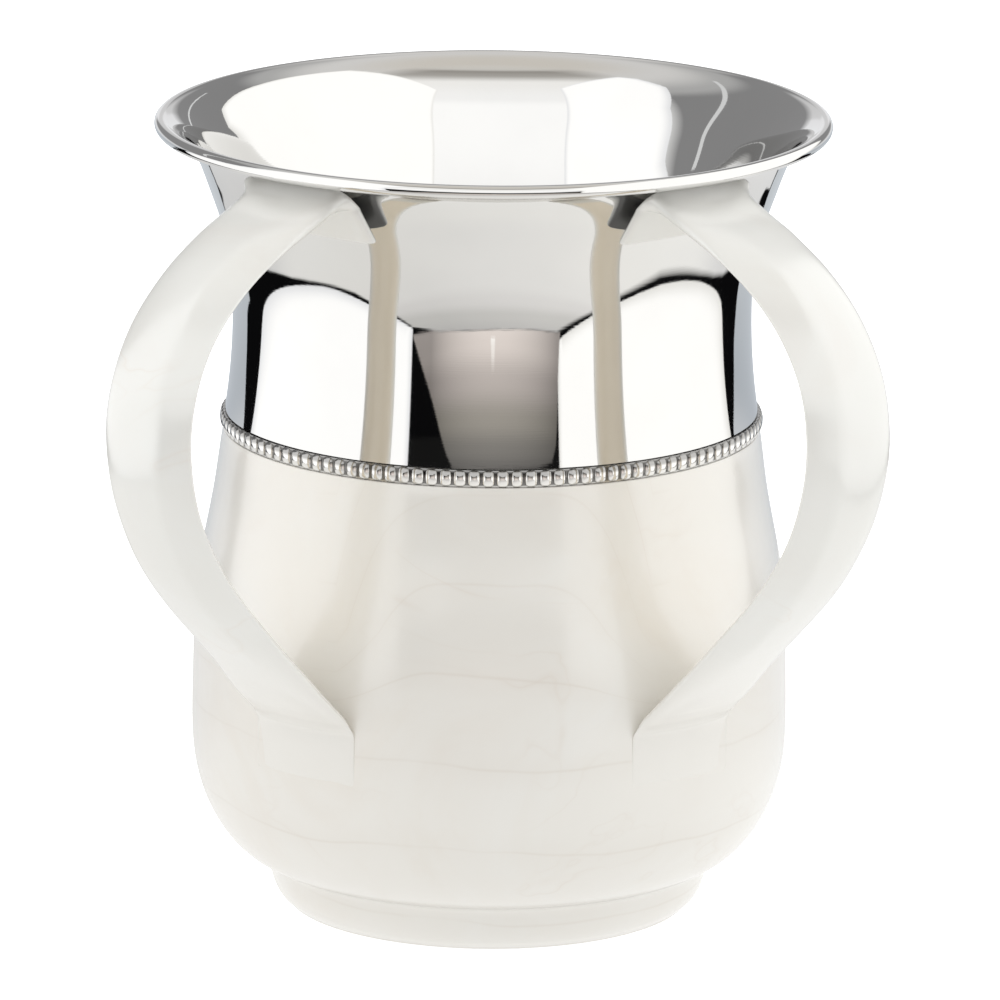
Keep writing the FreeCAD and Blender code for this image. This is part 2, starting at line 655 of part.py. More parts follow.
# enamel of the body: clear of the base plane and of the two lower tabs
raw = doc.addObject("Part::Cut", "body_enamel_skin")
raw.Base, raw.Tool = glaze_form, steel_form
floor_box = doc.addObject("Part::Box", "enamel_foot_clearance")
floor_box.Length, floor_box.Width = 120, 120
floor_box.setExpression("Height", "Dims.enamel_foot_gap + 1")
floor_box.Placement = FreeCAD.Placement(V(-60, -60, -1), FreeCAD.Rotation())
tools = [floor_box]
for side, word in ((-1, "left"), (1, "right")):
    box = doc.addObject("Part::Box", word + "_tab_clearance")
    box.Length = 10
    box.Width = 24
    box.setExpression("Height", "43.1 - Dims.lower_tab_low + Dims.enamel_gauge + 0.05")
    turn = FreeCAD.Rotation(V(0, 0, 1), -90.0 + side * value["handle_angle"])
    base = turn.multVec(V(value["lower_tab_radius"] - value["nugget_depth"], -12,
                          value["lower_tab_low"] - value["enamel_gauge"] - 0.05))
    box.Placement = FreeCAD.Placement(base, turn)
    tools.append(box)
clear = doc.addObject("Part::MultiFuse", "enamel_clearances")
clear.Shapes = tools
body_enamel = doc.addObject("Part::Cut", "body_enamel")
body_enamel.Base, body_enamel.Tool = raw, clear

doc.recompute()

subparts.update({"cup_shell": cup_shell, "body_enamel": body_enamel, "beaded_ring": ring, "ring_solder": solder,
                 "upper_spot_welds": upper_welds, "lower_spot_welds": lower_welds})

# ---------------------------------------------------------------- checks, then the files
bad = []
for obj in doc.Objects:
    if any(s in ("Invalid", "Error") for s in obj.State):
        bad.append(obj.Name)
for name, obj in subparts.items():
    obj.Label = name
    shape = obj.Shape
    if shape.isNull() or not shape.isValid() or not shape.Solids:
        bad.append(name + " shape")
if bad:
    raise RuntimeError("failed objects: " + ", ".join(bad))

os.makedirs("parts", exist_ok=True)
for name in sorted(subparts):
    shape = subparts[name].Shape
    shape.exportStep("parts/%s.step" % name)
    bb = shape.BoundBox
    print("%-22s solids %d  volume %9.1f  x %.2f %.2f  y %.2f %.2f  z %.2f %.2f" % (
        name, len(shape.Solids), shape.Volume, bb.XMin, bb.XMax, bb.YMin, bb.YMax, bb.ZMin, bb.ZMax))
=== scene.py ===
import math

import bmesh
import bpy
import numpy as np
from mathutils import Matrix, Vector


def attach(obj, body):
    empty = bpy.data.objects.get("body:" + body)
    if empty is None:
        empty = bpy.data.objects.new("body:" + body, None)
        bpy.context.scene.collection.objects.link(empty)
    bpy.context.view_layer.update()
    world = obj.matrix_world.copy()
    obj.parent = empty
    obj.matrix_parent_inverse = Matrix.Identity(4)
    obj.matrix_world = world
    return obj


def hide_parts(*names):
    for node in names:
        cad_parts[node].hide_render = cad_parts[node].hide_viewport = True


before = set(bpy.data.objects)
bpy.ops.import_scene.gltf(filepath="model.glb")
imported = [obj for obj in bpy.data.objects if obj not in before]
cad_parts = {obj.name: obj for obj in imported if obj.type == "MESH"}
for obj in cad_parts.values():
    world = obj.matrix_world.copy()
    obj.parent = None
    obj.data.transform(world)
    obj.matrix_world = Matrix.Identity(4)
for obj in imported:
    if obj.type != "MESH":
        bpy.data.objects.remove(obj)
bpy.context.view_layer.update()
MM = 0.001
SIDES = (("left", -1), ("right", 1))
HANDLE_ANGLE = 39.0

# ------------------------------------------------------------------------------------------------
# dimensions, in millimetres, the same as in the CAD model
# ------------------------------------------------------------------------------------------------
GAUGE, GLAZE = 0.75, 0.35
ROLL_R, ROLL_Z, ROLL = 57.40, 138.78, 1.22
RING_LOW, RING_HIGH, SEAT = 85.35, 88.25, 46.15
FOOT = [(32.980, 0.000), (34.241, 0.169), (36.897, 1.516), (38.211, 5.328), (38.592, 7.984), (39.660, 8.930)]
BELLY = [(39.660, 8.930), (43.103, 9.867), (47.953, 14.820), (51.744, 24.522), (52.076, 34.726), (51.731, 44.884),
         (51.741, 55.093), (50.015, 65.136), (47.899, 75.089), (47.210, 81.856), (46.660, 85.200)]
NECK = [(46.320, 88.400), (45.964, 90.644), (45.412, 95.172), (45.005, 101.972), (44.979, 108.760),
        (45.330, 115.593), (47.076, 122.189), (49.442, 128.422), (51.644, 135.015), (54.951, 138.344)]
CURL_ON, CURL_OFF = math.radians(125.0), math.radians(-155.0)
NECK.append((ROLL_R + (ROLL - GAUGE) * math.cos(CURL_ON), ROLL_Z + (ROLL - GAUGE) * math.sin(CURL_ON)))


def spline(poles, n):
    """Clamped uniform cubic through its poles, n points, as an array of (radius, height)."""
    P = np.array(poles, float)
    k, m = 3, len(P)
    kn = np.concatenate([[0.0] * k, np.linspace(0, 1, m - k + 1), [1.0] * k])
    out = np.zeros((n, 2))
    for j, t in enumerate(np.linspace(0, 1, n)):
        t = min(t, 1 - 1e-12)
        i = min(max(int(np.searchsorted(kn, t, side="right")) - 1, k), m - 1)
        d = [P[i - k + q].copy() for q in range(k + 1)]
        for r in range(1, k + 1):
            for q in range(k, r - 1, -1):
                den = kn[q + 1 + i - r] - kn[i - k + q]
                a = (t - kn[i - k + q]) / den if den else 0.0
                d[q] = (1 - a) * d[q - 1] + a * d[q]
        out[j] = d[k]
    return out


def shift(curve, depth):
    """The curve moved to its left by depth."""
    t = np.gradient(curve, axis=0)
    t /= np.linalg.norm(t, axis=1)[:, None]
    return curve + depth * np.c_[-t[:, 1], t[:, 0]]


def arc(cx, cz, r, a0, a1, n):
    a = np.linspace(a0, a1, n)
    return np.c_[cx + r * np.cos(a), cz + r * np.sin(a)]


def soften(curve, index, size, n=7):
    """Rounds the corner of a polyline at one index with a small quadratic blend of about that size."""
    p = curve[index]
    a = index
    while a > 0 and np.linalg.norm(curve[a] - p) < size:
        a -= 1
    b = index
    while b < len(curve) - 1 and np.linalg.norm(curve[b] - p) < size:
        b += 1
    t = np.linspace(0, 1, n)[:, None]
    mid = (1 - t) ** 2 * curve[a] + 2 * t * (1 - t) * p + t ** 2 * curve[b]
    return np.vstack([curve[:a], mid, curve[b + 1:]])


def mesh_object(name, verts, faces, smooth_angle=40.0, values=None):
    me = bpy.data.meshes.new(name)
    me.from_pydata([tuple(v) for v in verts], [], faces)
    for key, val in (values or {}).items():
        me.attributes.new(key, "FLOAT", "POINT").data.foreach_set("value", val)
    bm = bmesh.new()
    bm.from_mesh(me)
    bmesh.ops.remove_doubles(bm, verts=bm.verts, dist=2e-7)
    bmesh.ops.dissolve_degenerate(bm, edges=bm.edges, dist=1e-7)
    bmesh.ops.recalc_face_normals(bm, faces=bm.faces)
    lim = math.radians(smooth_angle)
    for f in bm.faces:
        f.smooth = True
    for e in bm.edges:
        if len(e.link_faces) == 2 and e.calc_face_angle(0.0) > lim:
            e.smooth = False
    bm.to_mesh(me)
    bm.free()
    me.update()
    ob = bpy.data.objects.new(name, me)
    bpy.context.scene.collection.objects.link(ob)
    return ob


def revolve(name, loop, seg, wobble=None, smooth_angle=40.0):
    """A closed outline (radius, height) turned about the Z axis.  A radius of zero is a single point."""
    verts, faces, rows = [], [], []
    for r, z in loop:
        if r < 1e-6:
            rows.append([len(verts)])
            verts.append((0.0, 0.0, z * MM))
        else:
            row = []
            for k in range(seg):
                a = 2 * math.pi * k / seg
                rr = r + (wobble(a, z, r) if wobble else 0.0)
                row.append(len(verts))
                verts.append((rr * MM * math.cos(a), rr * MM * math.sin(a), z * MM))
            rows.append(row)
    n = len(rows)
    for i in range(n):
        a, b = rows[i], rows[(i + 1) % n]
        if len(a) == 1 and len(b) == 1:
            continue
        for k in range(seg):
            l = (k + 1) % seg
            if len(a) == 1:
                faces.append((a[0], b[l], b[k]))
            elif len(b) == 1:
                faces.append((a[k], a[l], b[0]))
            else:
                faces.append((a[k], a[l], b[l], b[k]))
    return mesh_object(name, verts, faces, smooth_angle)


# ------------------------------------------------------------------------------------------------
# the cup sheet: one spun shell with a curled rim
# ------------------------------------------------------------------------------------------------
foot_o, belly_o, neck_o = spline(FOOT, 26), spline(BELLY, 80), spline(NECK, 110)
body_o = np.vstack([foot_o[:-1], belly_o])
step_at = len(foot_o) - 1
body_steel = shift(body_o, GLAZE)
body_steel[0] = (foot_o[0, 0], 0.0)
body_steel = body_steel[:-1]
body_steel = np.vstack([body_steel, [(46.31, RING_LOW - 0.15), (SEAT, RING_LOW), (SEAT, RING_HIGH)]])
bore = ROLL - GAUGE
outer = np.vstack([[(0.0, 0.0), (16.0, 0.0), (30.5, 0.0)], body_steel, neck_o,
                   arc(ROLL_R, ROLL_Z, bore, CURL_ON, CURL_OFF, 18)[1:]])
curl = arc(ROLL_R, ROLL_Z, ROLL, CURL_OFF, CURL_ON, 44)
neck_i = shift(neck_o, GAUGE)[::-1][1:]
body_i = shift(soften(body_o, step_at, 1.6), GLAZE + GAUGE)[::-1]
keep = body_i[:, 1] > GAUGE + 0.35
keep &= np.r_[True, np.diff(body_i[:, 1]) < 0]
body_i = body_i[keep]
well = [(body_i[-1, 0] - 0.35, GAUGE + 0.12), (body_i[-1, 0] - 0.9, GAUGE), (body_i[-1, 0] - 3.0, GAUGE), (16.0, GAUGE), (0.0, GAUGE)]
shell = revolve("cup_spun_shell", np.vstack([outer, curl, neck_i, body_i, well]), 256)

# ------------------------------------------------------------------------------------------------
# the enamel of belly and foot
# ------------------------------------------------------------------------------------------------
coat = soften(body_o, step_at, 0.9, 9)
coat = coat[coat[:, 1] >= 0.62]
top_r = coat[-1, 0]
lip = arc(top_r - 0.22, 85.20 - 0.22, 0.22, 0.0, math.pi / 2, 6)
coat = np.vstack([[(coat[0, 0] - 0.32, 0.47), (coat[0, 0] - 0.12, 0.50)], coat[:-1], lip])
back = shift(body_o, GLAZE + 0.02)
back = back[(back[:, 1] > 0.75) & (back[:, 1] < 84.9)][::-1]
back = back[np.r_[True, np.diff(back[:, 1]) < 0]]


def enamel_wobble(a, z, r):
    # hand-dipped enamel is never quite true
    return 0.022 * math.sin(3 * a + 0.09 * z) + 0.016 * math.sin(7 * a - 0.13 * z + 1.3) + 0.010 * math.sin(13 * a + 0.31 * z)


enamel = revolve("body_enamel_coat", np.vstack([coat, [(46.30, 85.18), (46.30, 84.95)], back]), 256,
                 wobble=lambda a, z, r: enamel_wobble(a, z, r) if 0.7 < z < 84.9 and r > 0 else 0.0)

# ------------------------------------------------------------------------------------------------
# beaded ring: a strip with 120 pillow beads
# ------------------------------------------------------------------------------------------------
BEADS = 120
zc = 0.5 * (RING_LOW + RING_HIGH)
verts, faces = [], []


def add_grid(points, nu, nv, close_u=False):
    base = len(verts)
    verts.extend(points)
    for i in range(nu if close_u else nu - 1):
        for j in range(nv - 1):
            a, b = base + i * nv + j, base + ((i + 1) % nu) * nv + j
            faces.append((a, b, b + 1, a + 1))


strip_loop = [(46.35, 85.40), (46.62, 85.38), (46.66, 85.46), (46.66, 88.14), (46.62, 88.22), (46.35, 88.20)]
seg = BEADS * 3
base = len(verts)
for r, z in strip_loop:
    for k in range(seg):
        a = 2 * math.pi * k / seg
        verts.append((r * MM * math.cos(a), r * MM * math.sin(a), z * MM))
for i in range(len(strip_loop)):
    j = (i + 1) % len(strip_loop)
    for k in range(seg):
        l = (k + 1) % seg
        faces.append((base + i * seg + k, base + i * seg + l, base + j * seg + l, base + j * seg + k))
rng = np.random.default_rng(7)
NU, NV = 13, 13
pitch = 2 * math.pi / BEADS
for b in range(BEADS):
    mid = (b + 0.5) * pitch
    half_a = 0.5 * pitch - 0.07 / 46.9 + rng.normal(0, 0.03) / 46.9
    half_z = 1.47 + rng.normal(0, 0.012)
    proud = 0.74 + rng.normal(0, 0.015)
    lean = rng.normal(0, 0.02)
    pts = []
    for i in range(NU):
        u = -1 + 2 * i / (NU - 1)
        u = math.sin(u * math.pi / 2)
        for j in range(NV):
            v = -1 + 2 * j / (NV - 1)
            v = math.sin(v * math.pi / 2)
            p = 3.4
            e = (abs(u) ** p + abs(v) ** p)
            # square-ish pillow: map the square grid onto a rounded square
            q = max(abs(u), abs(v))
            s = q / (e ** (1 / p)) if e > 1e-9 else 1.0
            uu, vv = u * s, v * s
            hgt = max(0.0, 1 - q ** 2.0) ** 0.5
            r = 46.46 + proud * hgt + lean * uu
            a = mid + uu * half_a
            pts.append((r * MM * math.cos(a), r * MM * math.sin(a), (zc + vv * half_z) * MM))
    add_grid(pts, NU, NV)
beads = mesh_object("bead_strip", verts, faces, 60.0)

# ------------------------------------------------------------------------------------------------
# the handles: a flattened tube with folded tabs, and its enamel
# ------------------------------------------------------------------------------------------------
# mid-line stations: distance from the axis, height, direction in degrees, half width over the enamel, steel thickness
ARCH = [(54.30, 134.42, -22.60, 9.75, 1.30),
        (60.30, 132.12, -20.90, 9.50, 2.00),
        (67.83, 129.20, -23.80, 9.40, 2.90),
        (77.26, 124.42, -32.50, 9.10, 3.80),
        (86.53, 116.56, -50.20, 9.00, 4.30),
        (92.14, 105.58, -76.50, 9.00, 4.40),
        (92.25, 93.06, -101.20, 9.00, 4.40),
        (87.61, 80.80, -119.30, 9.00, 4.40),
        (79.87, 70.22, -132.10, 9.05, 4.35),
        (70.50, 60.95, -137.00, 9.15, 4.05),
        (62.28, 53.17, -135.10, 9.60, 3.10),
        (56.95, 47.62, -131.20, 10.20, 1.80),
        (52.85, 42.85, -127.50, 10.60, 0.75)]
UP_R, UP_LOW, LEAN, UP_FOLD = 49.60, 128.15, 20.6, 1.30
LOW_LINE, LOW_LOW, LOW_BEND, LOW_STEEL = 51.86, 32.30, 2.60, 0.40


def unit(deg):
    return np.array([math.cos(math.radians(deg)), math.sin(math.radians(deg))])


def arch_point(k, t):
    a, b = ARCH[k], ARCH[k + 1]
    p0, p1 = np.array(a[:2]), np.array(b[:2])
    chord = np.linalg.norm(p1 - p0)
    m0, m1 = chord * unit(a[2]), chord * unit(b[2])
    return (2 * t ** 3 - 3 * t ** 2 + 1) * p0 + (t ** 3 - 2 * t ** 2 + t) * m0 + (-2 * t ** 3 + 3 * t ** 2) * p1 + (t ** 3 - t ** 2) * m1


def run(a, b, step):
    n = max(2, int(np.linalg.norm(b - a) / step))
    return [a + (b - a) * i / n for i in range(n)]


def resample(poly, n):
    poly = np.array(poly)
    d = np.r_[0, np.cumsum(np.linalg.norm(np.diff(poly, axis=0), axis=1))]
    t = np.linspace(0, d[-1], n)
    return np.c_[np.interp(t, d, poly[:, 0]), np.interp(t, d, poly[:, 1])]


def smooth_array(x, passes):
    x = x.copy()
    for _ in range(passes):
        x[1:-1] = 0.25 * x[:-2] + 0.5 * x[1:-1] + 0.25 * x[2:]
    return x


def handle_parts():
    """Arch and lower tab as arrays of mid-line, half width and steel thickness, and the normals to the left of the
    mid-line.
    """
    mid, hw, th = [], [], []
    for k in range(len(ARCH) - 1):
        a, b = ARCH[k], ARCH[k + 1]
        n = max(3, int(math.hypot(b[0] - a[0], b[1] - a[1]) / 0.5))
        for i in range(n):
            t = i / n
            mid.append(arch_point(k, t))
            hw.append(a[3] + (b[3] - a[3]) * t)
            th.append(a[4] + (b[4] - a[4]) * t)
    last = ARCH[-1]
    left = np.array([-unit(last[2])[1], unit(last[2])[0]])
    cx = LOW_LINE + LOW_BEND
    cz = (LOW_BEND + np.array(last[:2]) @ left - cx * left[0]) / left[1]
    c = np.array([cx, cz])
    tail = run(np.array(last[:2]), c - left * LOW_BEND, 0.3)
    s0 = math.atan2(-left[1], -left[0])
    s0 += 2 * math.pi if s0 < 0 else 0
    for i in range(8):
        s = s0 + (math.pi - s0) * i / 8
        tail.append(c + LOW_BEND * np.array([math.cos(s), math.sin(s)]))
    tail += run(np.array([LOW_LINE, cz]), np.array([LOW_LINE, LOW_LOW]), 0.3)
    tail.append(np.array([LOW_LINE, LOW_LOW]))
    n = len(tail)
    mid += tail
    hw += list(np.linspace(last[3], 10.6, n))
    th += list(np.interp(np.arange(n), [0, 8, n], [last[4], LOW_STEEL, LOW_STEEL]))
    mid = np.array(mid)
    hw, th = smooth_array(np.array(hw), 50), smooth_array(np.array(th), 50)
    tang = np.gradient(mid, axis=0)
    tang /= np.linalg.norm(tang, axis=1)[:, None]
    return mid, hw, th, np.c_[-tang[:, 1], tang[:, 0]]


def belly_radius(z):
    return np.interp(z, body_o[:, 1], body_o[:, 0])


def loft(O, I, hO, hI, pO, pI, wrap=None, sway=None, corner=(0.8, 0.9), edge=(0.35, 0.35), tint=None, bare_steel_and_back_shade=0, roof=None):
    """Closed mesh through sections that span from inner point I to outer point O, with the given half widths and squareness."""
    N = 30
    verts, faces, inner, back_painted_shade = [], [], [], []
    mid = 0.5 * (O + I)
    d = np.r_[0, np.cumsum(np.linalg.norm(np.diff(mid, axis=0), axis=1))]
    total = d[-1]
    ang = np.linspace(-math.pi / 2, math.pi / 2, N + 1)
    for i in range(len(O)):
        c, n = mid[i], O[i] - I[i]
        half = 0.5 * np.linalg.norm(n)
        n = n / (2 * half)
        shrink, cut = 1.0, 0.0
        for dist, rc, ed in ((d[i], corner[0], edge[0]), (total - d[i], corner[1], edge[1])):
            if dist < ed:
                shrink *= math.sqrt(max(1 - (1 - dist / ed) ** 2, 0.03))
            if dist < rc:
                cut += rc - math.sqrt(max(rc ** 2 - (rc - dist) ** 2, 0))
        half *= shrink
        ring = []
        for a in ang[:-1]:
            u = math.sin(a)
            ring.append((u, max(0.0, 1 - abs(u) ** pO[i]) ** 0.5))
        for a in ang[::-1][:-1]:
            u = math.sin(a)
            ring.append((u, -max(0.0, 1 - abs(u) ** pI[i]) ** 0.5))
        bev = roof[i] if roof is not None else 0.0
        for u, h in ring:
            f = 0.5 * (h + 1)
            if bev > 0 and u > 0:
                if h > 0 or u > 0.9999:
                    L = 0.9 * (u - 0.36 + math.sqrt((u - 0.36) ** 2 + 0.01) - 0.0136) / 1.274
                    new = -0.25 + 1.25 * (1 - L) * max(0.0, 1 - u ** 14) ** 0.5
                else:
                    new = -0.25 + 0.75 * h
                h += (new - h) * bev
                u *= 1 - 0.05 * bev
            y = u * (hI[i] + (hO[i] - hI[i]) * f * f * (3 - 2 * f) - cut)
            p = c + n * (h * half)
            s_, z_ = p[0], p[1]
            if wrap is not None and wrap[i] > 0:
                R = 52.4
                s_ -= wrap[i] * (R - math.sqrt(R * R - y * y))
            if sway is not None:
                s_ += sway(s_, y, z_, h)
            verts.append((s_, y, z_))
            # painted shade: the back of the upper tab is marked for near-black, standing in for its shadow
            back_painted_shade.append(min(1.0, max(0.0, (h - 0.15) / 0.3)) if i < bare_steel_and_back_shade else 0.0)
            # painted shade: how much of the warm tan that stands in for the cup-side shade each point takes
            inner.append(min(1.0, max(0.0, (-h - 0.45) / 0.4)) * (tint[i] if tint is not None else 0.0))
    m = 2 * N
    for i in range(len(O) - 1):
        for j in range(m):
            k = (j + 1) % m
            faces.append((i * m + j, i * m + k, (i + 1) * m + k, (i + 1) * m + j))
    faces.append(tuple(range(m))[::-1])
    faces.append(tuple(range((len(O) - 1) * m, len(O) * m)))
    return verts, faces, inner, back_painted_shade


mid, hw, th, left = handle_parts()
lean_d = unit(90.0 - LEAN)
lean_n = np.array([lean_d[1], -lean_d[0]])
a0 = unit(ARCH[0][2])
under = np.array([a0[1], -a0[0]])
tab_mid = np.array([UP_R, UP_LOW]) + lean_n * ARCH[0][4] / 2
fold = np.linalg.solve(np.array([lean_n, under]), np.array([tab_mid @ lean_n + UP_FOLD, np.array(ARCH[0][:2]) @ under + UP_FOLD]))
rise = (fold - lean_n * UP_FOLD - tab_mid) @ lean_d
LOWER = mid[:, 1] < 60.0
# where the lower tab starts, for the bare back face
back_on = np.clip((44.5 - mid[:, 1]) / 1.5, 0, 1) * LOWER


def roof_at(points):
    """How far the outer face is bevelled: fully along the arch, not at all at the tabs."""
    return np.clip((points[:, 0] - 63.0) / 9.0, 0, 1) * np.clip((points[:, 1] - 52.0) / 12.0, 0, 1)


def coat_sections():
    g = GLAZE
    n_tab = 20
    u = np.linspace(0, rise, n_tab, endpoint=False)
    back_ = np.array([UP_R, UP_LOW]) + np.outer(u, lean_d) - lean_n * 0.02
    front = np.array([UP_R, UP_LOW]) + np.outer(u, lean_d) + lean_n * (ARCH[0][4] + g)
    start = int(np.argmax(mid[:, 0] > 61.5))
    top = mid + left * (th / 2 + g * (1 - 0.4 * back_on))[:, None]
    bottom = mid - left * (th / 2 + g * (1 - back_on) - 0.02 * back_on)[:, None]
    # the enamel climbs the neck in a small hollow fillet under the rim
    z = np.linspace(back_[-1, 1] + 0.3, 137.05, 12)
    neck_at = np.interp(z, neck_o[:, 1], neck_o[:, 0]) + 0.02
    climb = [tuple(p) for p in np.c_[neck_at, z]]
    e = climb[-1]
    t0, t1 = np.array([0.25, -1.0]) * 1.9, top[start + 1] - top[start]
    t1 = t1 / np.linalg.norm(t1) * 7.0
    end = top[start]
    tt = np.linspace(0, 1, 26)[1:]
    fil = [(2 * t ** 3 - 3 * t ** 2 + 1) * np.array(e) + (t ** 3 - 2 * t ** 2 + t) * np.array([3.2, -5.0]) + (-2 * t ** 3 + 3 * t ** 2) * end + (t ** 3 - t ** 2) * t1 for t in tt]
    over = resample([tuple(back_[-1])] + climb + [tuple(p) for p in fil], 40)[1:]
    b0, b1 = math.atan2(-lean_n[1], -lean_n[0]), math.atan2(-under[1], -under[0])
    b0 += 2 * math.pi if b0 < b1 else 0
    r_in = UP_FOLD - ARCH[0][4] / 2 - g
    inner = [fold + r_in * np.array([math.cos(b), math.sin(b)]) for b in np.linspace(b0, b1, 6)]
    inner = resample([tuple(front[-1])] + [tuple(p) for p in inner] + [tuple(p) for p in bottom[:start + 1]], 40)[1:]
    O = np.vstack([back_, over, top[start + 1:]])
    I = np.vstack([front, inner, bottom[start + 1:]])
    k, m, r = n_tab, len(over), len(top) - start - 1
    f = np.arange(m) / m
    hO = np.concatenate([np.linspace(14.6, 12.8, k), np.interp(f, [0, 0.22, 0.30, 0.40, 0.55, 1], [12.8, 12.3, 11.4, 10.2, 9.65, hw[start]]), hw[start + 1:]])
    hI = np.concatenate([np.linspace(14.6, 12.4, k), np.interp(f, [0, 0.10, 0.25, 0.45, 1], [12.2, 11.0, 10.0, 9.6, hw[start]]), hw[start + 1:]])
    hO, hI = smooth_array(hO, 5), smooth_array(hI, 5)
    thick = np.linalg.norm(O - I, axis=1)
    arch_p = np.interp(th[start + 1:], [0.6, 1.6, 3.2, 4.0], [16, 8, 2.9, 2.3])
    pO = smooth_array(np.concatenate([np.full(k, 18.0), np.linspace(12, 4.6, m), np.minimum(arch_p, np.interp(np.arange(r), [0, 40], [4.6, 2.3]) + 20 * LOWER[start + 1:])]), 10)
    pO = np.concatenate([pO[:k + m], pO[k + m:] + (3.6 - pO[k + m:]) * back_on[start + 1:]])
    # where along the arch the cup side takes the painted tan shade
    tint = np.concatenate([np.zeros(k + m), np.clip((mid[start + 1:, 0] - 62.5) / 5.0, 0, 1)])
    pI = smooth_array(np.concatenate([np.full(k, 18.0), np.linspace(12, 5.5, m), np.maximum(arch_p, 2.6)]), 10)
    wrap = np.concatenate([np.zeros(k + m), np.clip((50.5 - mid[start + 1:, 1]) / 7.0, 0, 1) * LOWER[start + 1:]])
    wrap = wrap * wrap * (3 - 2 * wrap)
    roof = np.concatenate([np.zeros(k + m), roof_at(mid[start + 1:])])
    return O, I, hO, hI, pO, pI, wrap, tint, roof


def steel_sections(inset):
    u = np.linspace(0, rise, 14, endpoint=False)
    tab = tab_mid + np.outer(u, lean_d)
    b0, b1 = math.atan2(-lean_n[1], -lean_n[0]), math.atan2(-under[1], -under[0])
    b0 += 2 * math.pi if b0 < b1 else 0
    turn_ = [fold + UP_FOLD * np.array([math.cos(b), math.sin(b)]) for b in np.linspace(b0, b1, 12)[:-1]]
    m = np.vstack([tab, turn_, mid])
    t = np.concatenate([np.full(len(tab) + len(turn_), ARCH[0][4]), th])
    h = np.concatenate([np.linspace(14.2, 12.2, len(tab)), np.linspace(12.0, 9.4, len(turn_)), hw - 0.38])
    tg = np.gradient(m, axis=0)
    tg /= np.linalg.norm(tg, axis=1)[:, None]
    lf = np.c_[-tg[:, 1], tg[:, 0]]
    low = m[:, 1] < 60
    wrap = np.clip((50.5 - m[:, 1]) / 7.0, 0, 1) * low
    wrap = wrap * wrap * (3 - 2 * wrap)
    p = np.interp(t, [0.6, 1.6, 3.2, 4.0], [16, 8, 2.9, 2.3])
    if inset:
        sel = t > 2 * inset + 0.3
        m, t, h, lf, p, wrap = m[sel], t[sel], h[sel], lf[sel], p[sel], wrap[sel]
    o = m + lf * (t / 2 - inset)[:, None]
    i = m - lf * (t / 2 - inset)[:, None]
    return (o, i, h - inset, h - inset, p, p + 0.2, wrap), roof_at(m)


def place(verts, side):
    b = math.radians(side * HANDLE_ANGLE)
    er = (math.sin(b), -math.cos(b))
    ey = (-er[1] * -side, er[0] * -side)
    return [((s * er[0] + y * ey[0]) * MM, (s * er[1] + y * ey[1]) * MM, z * MM) for s, y, z in verts]


def sink(y, z, h):
    """How far the front of the lower tab sinks into the enamel towards its back and bottom edges."""
    if z > 46.0 or h <= 0:
        return 0.0
    fy = min(1.0, max(0.0, (-y - 3.0) / 6.5))
    fz = min(1.0, max(0.0, (LOW_LOW + 5.0 - z) / 4.6)) * (1 - 0.55 * min(1.0, max(0.0, (y - 6.5) / 3.0)))
    fy, fz = fy * fy * (3 - 2 * fy), fz * fz * (3 - 2 * fz)
    return 0.24 * (1 - (1 - fy) * (1 - fz)) * min(1.0, (46.0 - z) / 4.0) * min(1.0, h * 2.5)


def hand_made(side):
    """Slight unevenness of the enamel on one handle, and the hollow over its weld."""
    k = 1.7 if side > 0 else 0.4
    cy, cz_, rad, depth = (0.6, 37.2, 2.6, 0.15) if side > 0 else (-1.5, 37.6, 2.8, 0.08)

    def sway(s, y, z, h):
        d = 0.05 * math.sin(0.21 * z + k + 0.17 * y) + 0.035 * math.sin(0.47 * z - 0.33 * y + 2 * k)
        if z < 46:
            d *= 0.25
            if h > 0:
                d -= sink(y, z, h)
                q = ((y - cy) ** 2 + (z - cz_) ** 2) / rad ** 2
                d -= depth * math.exp(-q * q) if q < 4 else 0.0
        elif z > 127 and s < 53.5:
            d = 0.0
        return d
    return sway


handles, tubes = {}, {}
for word, side in SIDES:
    O, I, hO, hI, pO, pI, wrap, tint, roof = coat_sections()
    # the first sections carry the painted near-black shade on the tab's back
    v, f, inner, back_side = loft(O, I, hO, hI, pO, pI, wrap, hand_made(side), edge=(0.35, 1.3), tint=tint, bare_steel_and_back_shade=21, roof=roof)
    handles[word] = mesh_object(word + "_handle_coat", place(v, side), f, 50.0, {"facing_cup": inner, "tab_back": back_side})
    sec, roof = steel_sections(0.0)
    v1, f1, _, _ = loft(*sec, sway=lambda s_, y, z, h: -sink(y, z, h) - (0.10 if z < 46 and h > 0 else 0.0) * min(1.0, (46.0 - z) / 4.0),
                        corner=(0.6, 0.7), edge=(0.2, 0.2), roof=roof)
    sec, roof = steel_sections(0.60)
    v2, f2, _, _ = loft(*sec, corner=(0.0, 0.0), edge=(0.2, 0.2), roof=roof)
    n = len(v1)
    f2 = [tuple(i + n for i in q)[::-1] for q in f2]
    tubes[word] = mesh_object(word + "_handle_steel", place(v1 + v2, side), f1 + f2, 50.0)


def lens_faces(rings, base, faces):
    for i in range(len(rings) - 1):
        for j in range(32):
            k = (j + 1) % 32
            faces.append((base + i * 32 + j, base + i * 32 + k, base + (i + 1) * 32 + k, base + (i + 1) * 32 + j))
    faces.append(tuple(base + j for j in range(32))[::-1])
    faces.append(tuple(base + (len(rings) - 1) * 32 + j for j in range(32)))


